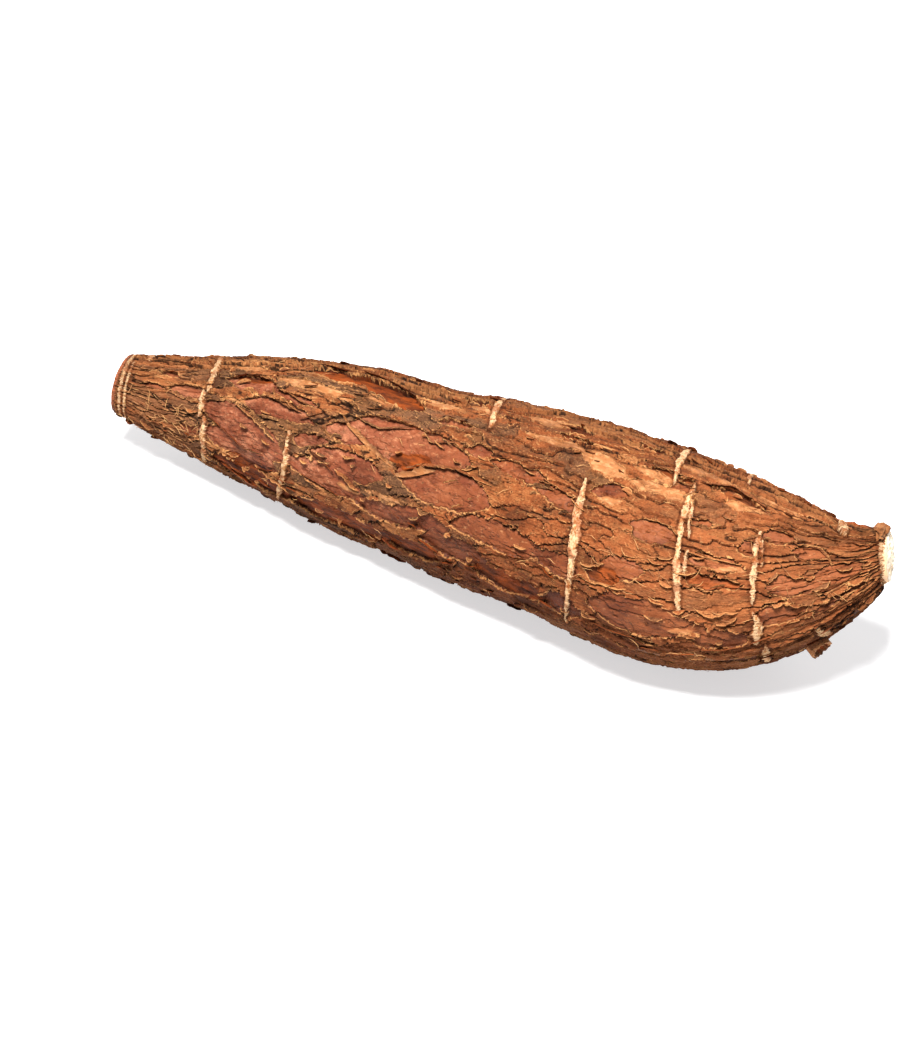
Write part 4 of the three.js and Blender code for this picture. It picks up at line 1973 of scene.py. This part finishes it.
@dataclass(frozen=True)
class BarkFinish:
    """Bark, peeled skin, torn inner bark and ring scars, told apart by the relief's own values.

    Attributes:
        grey: The outer bark.
        red: The outer bark where it is redder.
        gold: Its golden patches.
        dark: Cracks and specks, and painted shade in gaps and under edges.
        rosy: The inner skin.
        rosy_light: Its lighter clouds.
        maroon: Its darker clouds.
        russet: The inner skin towards the tail.
        orange: Skin that was covered until lately, and stains on scars.
        brown: The same where it is darker, and the line beside a scar.
        tan: Torn inner bark.
        pale: Its paler fibres.
        rim: Free edges of the bark, paler where torn, and a painted highlight on the flakes' free edges.
        cream: Ring scars.
        straw: Their darker grain.
        shade: Painted shade that the underside and the far upper side are multiplied by.
        grime: What its dirty patches are multiplied by.
        end_light: Painted light, a warm brightening of both ends.
    """

    grey: Colour = (0.132, 0.056, 0.0245)
    red: Colour = (0.18, 0.0485, 0.0135)
    gold: Colour = (0.19, 0.072, 0.02)
    dark: Colour = (0.007, 0.0022, 0.0007)
    rosy: Colour = (0.172, 0.046, 0.0195)
    rosy_light: Colour = (0.305, 0.113, 0.057)
    maroon: Colour = (0.098, 0.0205, 0.0078)
    russet: Colour = (0.15, 0.0385, 0.0105)
    orange: Colour = (0.19, 0.036, 0.0042)
    brown: Colour = (0.063, 0.0135, 0.0027)
    tan: Colour = (0.25, 0.093, 0.03)
    pale: Colour = (0.37, 0.17, 0.07)
    rim: Colour = (0.43, 0.2, 0.072)
    cream: Colour = (0.47, 0.295, 0.16)
    straw: Colour = (0.285, 0.119, 0.0372)
    shade: Colour = (0.46, 0.41, 0.38)
    grime: Colour = (0.56, 0.5, 0.47)
    end_light: Colour = (0.44, 0.148, 0.052)

    def bark(self, shader: Shader, places: Value, tone: Value, other: Value) -> Value:
        """The outer bark's colour."""
        fibre = shader.noise(places, 280, 4, 0.65, 2.6)
        patch = shader.noise(places, 80, 3, 0.6, 1.8)
        grit = shader.noise(places, 1300, 3, 0.65, 1.4)
        run = shader.part(places, 0)
        redder = (tone + 0.5 * (patch - 0.5) + 0.3 * run.step(0.13, 0.18)).step(0.3, 0.65)
        golden = (other * 0.6 + fibre * 0.5 + patch * 0.5).step(0.78, 1.15)
        streak = (fibre + 0.5 * (grit - 0.5)).step(0.3, 0.48)
        return shader.coats(
            shader.mix(redder, self.grey, self.red),
            (golden * 0.42, self.gold),
            ((1 - tone.step(0.22, 0.5)) * 0.32, self.dark),
            (tone.step(0.55, 0.8) * 0.3, self.rim),
            (0.48 * (1 - streak), self.dark),
            ((0.5 - grit).step(0.04, 0.2) * 0.55, self.dark),
            ((grit - 0.5).step(0.05, 0.22) * 0.42, self.rim),
        )

    @staticmethod
    def crackle(shader: Shader, places: Value) -> Value:
        """Distance to the nearest fine crack, in shares of a scale."""
        swirl = {"Vector": places, "Scale": 420.0, "Detail": 3.0}
        bent = shader.node(
            "ShaderNodeVectorMath",
            {"operation": "MULTIPLY_ADD"},
            {
                0: shader.node("ShaderNodeTexNoise", {}, swirl, "Color"),
                1: (0.0034, 0.0024, 0.0024),
                2: shader.stretched(places, (1.0, 2.3, 2.3)),
            },
        )
        return shader.cells(bent, 235, "DISTANCE_TO_EDGE")

    def skin(self, shader: Shader, places: Value, other: Value) -> Value:
        """The rosy inner skin's colour."""
        cloud = shader.noise(places, 110, 4, 0.6, 1.6)
        mottle = shader.noise(places, 520, 4, 0.7, 1.5)
        run = shader.part(places, 0)
        dots = (1 - shader.cells(places, 640).step(0.1, 0.26)) * mottle.step(0.46, 0.6)
        hairs = shader.cells(shader.stretched(places, (1.0, 1.7, 1.7)), 210, "DISTANCE_TO_EDGE")
        return shader.coats(
            shader.mix((cloud + 0.7 * (mottle - 0.5)).step(0.4, 0.7), self.rosy, self.rosy_light),
            ((run + 0.1 * (cloud - 0.5)).step(0.09, 0.19) * 0.85, self.russet),
            ((other * 0.6 + cloud * 0.8).step(0.62, 1.05) * 0.8, self.maroon),
            ((0.5 - mottle).step(0.05, 0.18) * 0.55, self.maroon),
            (dots * 0.85, self.dark),
            ((1 - hairs.step(0.0, 0.05)) * 0.6 * mottle.step(0.4, 0.6), self.dark),
            ((mottle - 0.5).step(0.08, 0.2) * 0.5, self.pale),
        )

    def fresh(self, shader: Shader, places: Value) -> Value:
        """The deep orange skin's colour."""
        run = shader.noise(places, 120, 4, 0.6, 3.0)
        return shader.mix(run.step(0.36, 0.62), self.orange, self.brown)

    def torn(self, shader: Shader, places: Value) -> Value:
        """The torn inner bark's colour."""
        run = shader.noise(places, 300, 4, 0.65, 2.4)
        return shader.mix(run.step(0.44, 0.66), self.tan, self.pale)

    def scar(self, shader: Shader, places: Value) -> Value:
        """A ring scar's colour."""
        run = shader.noise(shader.stretched(places, (1.6, 1.0, 1.0)), 560, 4, 0.7, bend=0.5)
        stain = shader.noise(places, 210, 3, 0.6)
        chips = shader.noise(places, 900, 3, 0.7)
        return shader.coats(
            shader.mix(run.step(0.46, 0.62), self.cream, self.straw),
            (stain.step(0.48, 0.6) * 0.7, self.orange),
            ((0.5 - chips).step(0.06, 0.16) * 0.8, self.brown),
        )

    def build(self) -> bpy.types.Material:
        """Builds the finish."""
        shader = Shader("bark")
        edge_share, fresh, tan, scar_share = shader.channels("peel")
        tone, gap_share, lit_share, other = shader.channels("bark")
        places = shader.attribute("grain", "Vector")
        run, level, upward = (shader.part(places, number) for number in range(3))
        fine = shader.noise(places, 1100, 3, 0.65, 1.6)
        coarse = shader.noise(places, 300, 3, 0.6, 2.0)
        edge = (edge_share - 0.5) * EDGE_SPAN + (fine - 0.5) * 1.1
        scar = (scar_share - 0.5) * EDGE_SPAN + (fine - 0.5) * 1.6
        inside = edge.step(-0.1, 0.1)
        on_scar = 1 - scar.step(-0.1, 0.1)
        cracks = self.crackle(shader, places)
        broken = coarse.step(0.5, 0.7)

        # Partly painted highlight: free edges of the flakes are mixed towards the pale rim colour, as if
        # catching the light.
        lit = (1 - (lit_share * LINE_SPAN + (fine - 0.5) * 0.9).step(0.12, 0.42)) * coarse.step(0.3, 0.46)
        bark = shader.coats(
            self.bark(shader, places, tone, other),
            ((1 - abs(cracks - 0.09).step(0.02, 0.06)) * broken * 0.5, self.rim),
            ((1 - cracks.step(0.01, 0.05)) * broken * 0.7, self.dark),
            (lit * 0.9, self.rim),
        )
        skin = shader.coats(
            self.skin(shader, places, other),
            ((1 - cracks.step(0.0, 0.05)) * broken * (1 - tan) * 0.4, self.dark),
            ((fresh + 0.7 * (coarse - 0.5)).step(0.35, 0.6), self.fresh(shader, places)),
            ((tan + 0.7 * (fine - 0.5)).step(0.35, 0.6), self.torn(shader, places)),
        )
        # Painted light: both ends are brightened towards a warm orange, as if lit more strongly.
        sunny = run.step(0.205, 0.255) | (1 - run.step(0.02, 0.05))
        # Painted shade: dark in the gaps beside the flakes' drops and just under the upper edges of windows.
        gap = 1 - (gap_share * LINE_SPAN + (fine - 0.5) * 0.7).step(0.3, 0.9)
        shadow = (1 - abs(edge - 0.3).step(0.1, 0.5)) * (1 - tan)
        rim = (1 - abs(edge + 0.14).step(0.06, 0.26)) * coarse.step(0.32, 0.48)
        beside = 1 - abs(scar - 0.5).step(0.1, 0.7)
        colour = shader.coats(
            shader.mix(inside, bark, skin),
            (sunny * 0.17, self.end_light),
            (gap * (0.9 - 0.55 * inside), self.dark),
            (shadow * 0.42, self.dark),
            (rim * 0.85, self.rim),
            (beside * 0.6, self.brown),
        )
        grime = shader.noise(places, 75, 5, 0.62, 1.7)
        colour = shader.mix(grime.step(0.5, 0.64) * 0.85, colour, self.grime, "MULTIPLY")
        # Painted shade: darker towards the bottom, less so on fresh skin, and darker on the far upper side.
        belly = run.step(0.09, 0.14) * (1 - run.step(0.215, 0.25))
        low = (1 - (upward - 0.008 * belly).step(-0.026, 0.016)) * (1 - 0.6 * fresh * inside)
        far = level.step(-0.004, 0.018) - 0.7 * level.step(0.019, 0.031)
        colour = shader.mix(low | 0.8 * far, colour, self.shade, "MULTIPLY")
        colour = shader.mix(on_scar, colour, self.scar(shader, places))

        fibre = shader.noise(places, 260, 4, 0.65, 6.0)
        dust = shader.noise(places, 1500, 2, 0.6)
        relief = (fibre * 0.7 + dust * 0.3) * (1 - 0.7 * inside)
        height = relief + 0.3 * coarse + 0.35 * cracks.step(0.0, 0.12) * broken
        gloss = 0.9 - 0.3 * inside * (1 - on_scar) + 0.14 * fresh
        shader.finish(colour, gloss, height, 0.001, 0.11)
        return shader.material


@dataclass(frozen=True)
class FibreFinish:
    """Dry fibres.

    Attributes:
        gold: Golden fibres.
        brown: Brown fibres.
    """

    gold: Colour = (0.40, 0.20, 0.07)
    brown: Colour = (0.2, 0.075, 0.025)

    def build(self) -> bpy.types.Material:
        """Builds the finish."""
        shader = Shader("fibre")
        places = shader.own_places()
        drift = shader.noise(places, 190, 3)
        grit = shader.noise(places, 2400, 2)
        colour = shader.mix(drift.step(0.42, 0.6), self.gold, self.brown)
        shader.finish(colour, 0.7 + 0.2 * grit, grit, 0.0001, 0.3)
        return shader.material


@dataclass(frozen=True)
class FleshFinish:
    """White flesh with its thin ring, pink peel line and fibrous middle, or its torn cream break.

    Attributes:
        white: The flesh.
        cream: Its darker clouds.
        straw: The thin ring and the fibrous middle.
        pink: The line under the peel.
        tan: Stains of the torn break.
    """

    white: Colour = (0.70, 0.62, 0.49)
    cream: Colour = (0.68, 0.55, 0.38)
    straw: Colour = (0.55, 0.36, 0.15)
    pink: Colour = (0.48, 0.19, 0.12)
    tan: Colour = (0.52, 0.27, 0.11)

    def build(self) -> bpy.types.Material:
        """Builds the finish."""
        shader = Shader("flesh")
        share, torn, _, _ = shader.channels("cut")
        places = shader.own_places()
        cloud = shader.noise(places, 260, 4, 0.6)
        grit = shader.noise(places, 1300, 3, 0.6)
        wavy = share + 0.03 * (cloud - 0.5)
        cut = 1 - torn
        colour = shader.coats(
            shader.mix(cloud.step(0.4, 0.7), self.white, self.cream),
            ((1 - abs(wavy - 0.8).step(0.0, 0.02)) * 0.5 * cut, self.straw),
            ((1 - wavy.step(0.05, 0.14)) * 0.7 * cut, self.straw),
            ((1 - abs(wavy - 0.93).step(0.01, 0.045)) * 0.75 * cut, self.pink),
            ((cloud.step(0.55, 0.7) | wavy.step(0.9, 1.0)) * torn * 0.75, self.tan),
        )
        shader.fill(shader.surface.inputs["Subsurface Weight"], 0.15)
        shader.fill(shader.surface.inputs["Subsurface Radius"], (0.004, 0.003, 0.002))
        shader.fill(shader.surface.inputs["Subsurface Scale"], 0.5)
        shader.finish(colour, 0.5 + 0.2 * grit, cloud * 0.4 + grit * 0.6, 0.0003, 0.4)
        return shader.material


# ---------------------------------------------------------------------------------------------------
# Studio
# ---------------------------------------------------------------------------------------------------


@dataclass(frozen=True)
class SoftLamp:
    """A soft square studio lamp that looks at the root.

    Attributes:
        name: Its name.
        place: Where it hangs, in metres.
        size: Its width, in metres.
        power: Its power, in watts.
    """

    name: str
    place: tuple[float, float, float]
    size: float
    power: float

    def build(self) -> None:
        """Adds the lamp."""
        data = bpy.data.lights.new(self.name, "AREA")
        data.shape = "SQUARE"
        data.size = self.size
        data.energy = self.power
        lamp = bpy.data.objects.new(self.name, data)
        lamp.location = self.place
        lamp.rotation_euler = (Vector((0, 0, 0.03)) - lamp.location).to_track_quat("-Z", "Y").to_euler()
        bpy.context.scene.collection.objects.link(lamp)


@dataclass(frozen=True)
class Studio:
    """The pale floor, the soft lamps and the camera.

    Attributes:
        camera_place: Where the camera stands, in metres.
        elevation: How steeply it looks down, in degrees.
        azimuth: How far round towards the tail it stands, in degrees.
        lens: Its focal length, in millimetres.
        lamps: The soft lamps.
        sky: Brightness of the even light from all around.
        glow: Brightness of the lit white table itself.
        table: The table's colour.
        table_light: The lighter colour in its fine grain.
        table_glow: The colour of its glow.
    """

    camera_place: tuple[float, float, float] = (0.27407, -0.60137, 0.61482)
    elevation: float = 42.0
    azimuth: float = 25.18
    lens: float = 84.0
    lamps: tuple[SoftLamp, ...] = (
        SoftLamp("key_lamp", (0.06, -0.33, 1.04), 0.24, 39.5),
        SoftLamp("back_lamp", (-0.35, 0.95, 0.45), 0.7, 4.0),
    )
    sky: float = 0.36
    glow: float = 0.6
    table: Colour = (0.5, 0.5, 0.5)
    table_light: Colour = (0.53, 0.53, 0.53)
    table_glow: Colour = (1.0, 0.99, 1.0)

    def floor(self) -> None:
        """The plain pale floor."""
        bpy.ops.object.select_all(action="DESELECT")
        bpy.ops.mesh.primitive_plane_add(size=12, location=(0, 0, 0))
        floor = bpy.context.active_object
        floor.name = "floor"
        shader = Shader("floor")
        grain = shader.noise(shader.own_places(), 40, 2)
        shader.finish(shader.mix(grain, self.table, self.table_light), 0.9, grain, 0.00002, 0.1)
        shader.fill(shader.surface.inputs["Emission Color"], self.table_glow)
        shader.fill(shader.surface.inputs["Emission Strength"], self.glow)
        floor.data.materials.append(shader.material)

    def camera(self) -> None:
        """The camera, level from side to side."""
        data = bpy.data.cameras.new("camera")
        data.lens = self.lens
        data.sensor_width = 36.0
        data.clip_end = 20.0
        camera = bpy.data.objects.new("camera", data)
        camera.location = self.camera_place
        camera.rotation_euler = (math.radians(90 - self.elevation), 0, math.radians(self.azimuth))
        bpy.context.scene.collection.objects.link(camera)
        bpy.context.scene.camera = camera

    def build(self) -> None:
        """Sets the studio up."""
        self.floor()
        self.camera()
        for lamp in self.lamps:
            lamp.build()
        world = bpy.data.worlds.new("studio")
        world.use_nodes = True
        sky = world.node_tree.nodes["Background"]
        sky.inputs["Color"].default_value = (1.0, 1.0, 1.0, 1.0)
        sky.inputs["Strength"].default_value = self.sky
        bpy.context.scene.world = world
        bpy.context.scene.view_settings.view_transform = "Standard"


def main() -> None:
    """Builds the root piece by piece, and the studio around it."""
    logging.basicConfig(level=logging.INFO, format="%(name)s: %(message)s")
    form = RootForm()
    relief = BarkRelief()
    bark = BarkFinish().build()
    flesh = FleshFinish().build()
    Studio().build()
    BarkBody(form, relief).build(bark)
    BarkCurls(form, relief).build(bark)
    Fibres(form).build(FibreFinish().build())
    EndFace(form, "neck_flesh", at_tail=False).build(flesh)
    EndFace(form, "tail_flesh", at_tail=True, share=0.9, crown=form.crown, torn=0.45).build(flesh)
    stub = RootletStub(form)
    stub.shaft(bark)
    stub.collar(bark)
    stub.lump(bark)


if __name__ == "__main__":
    main()
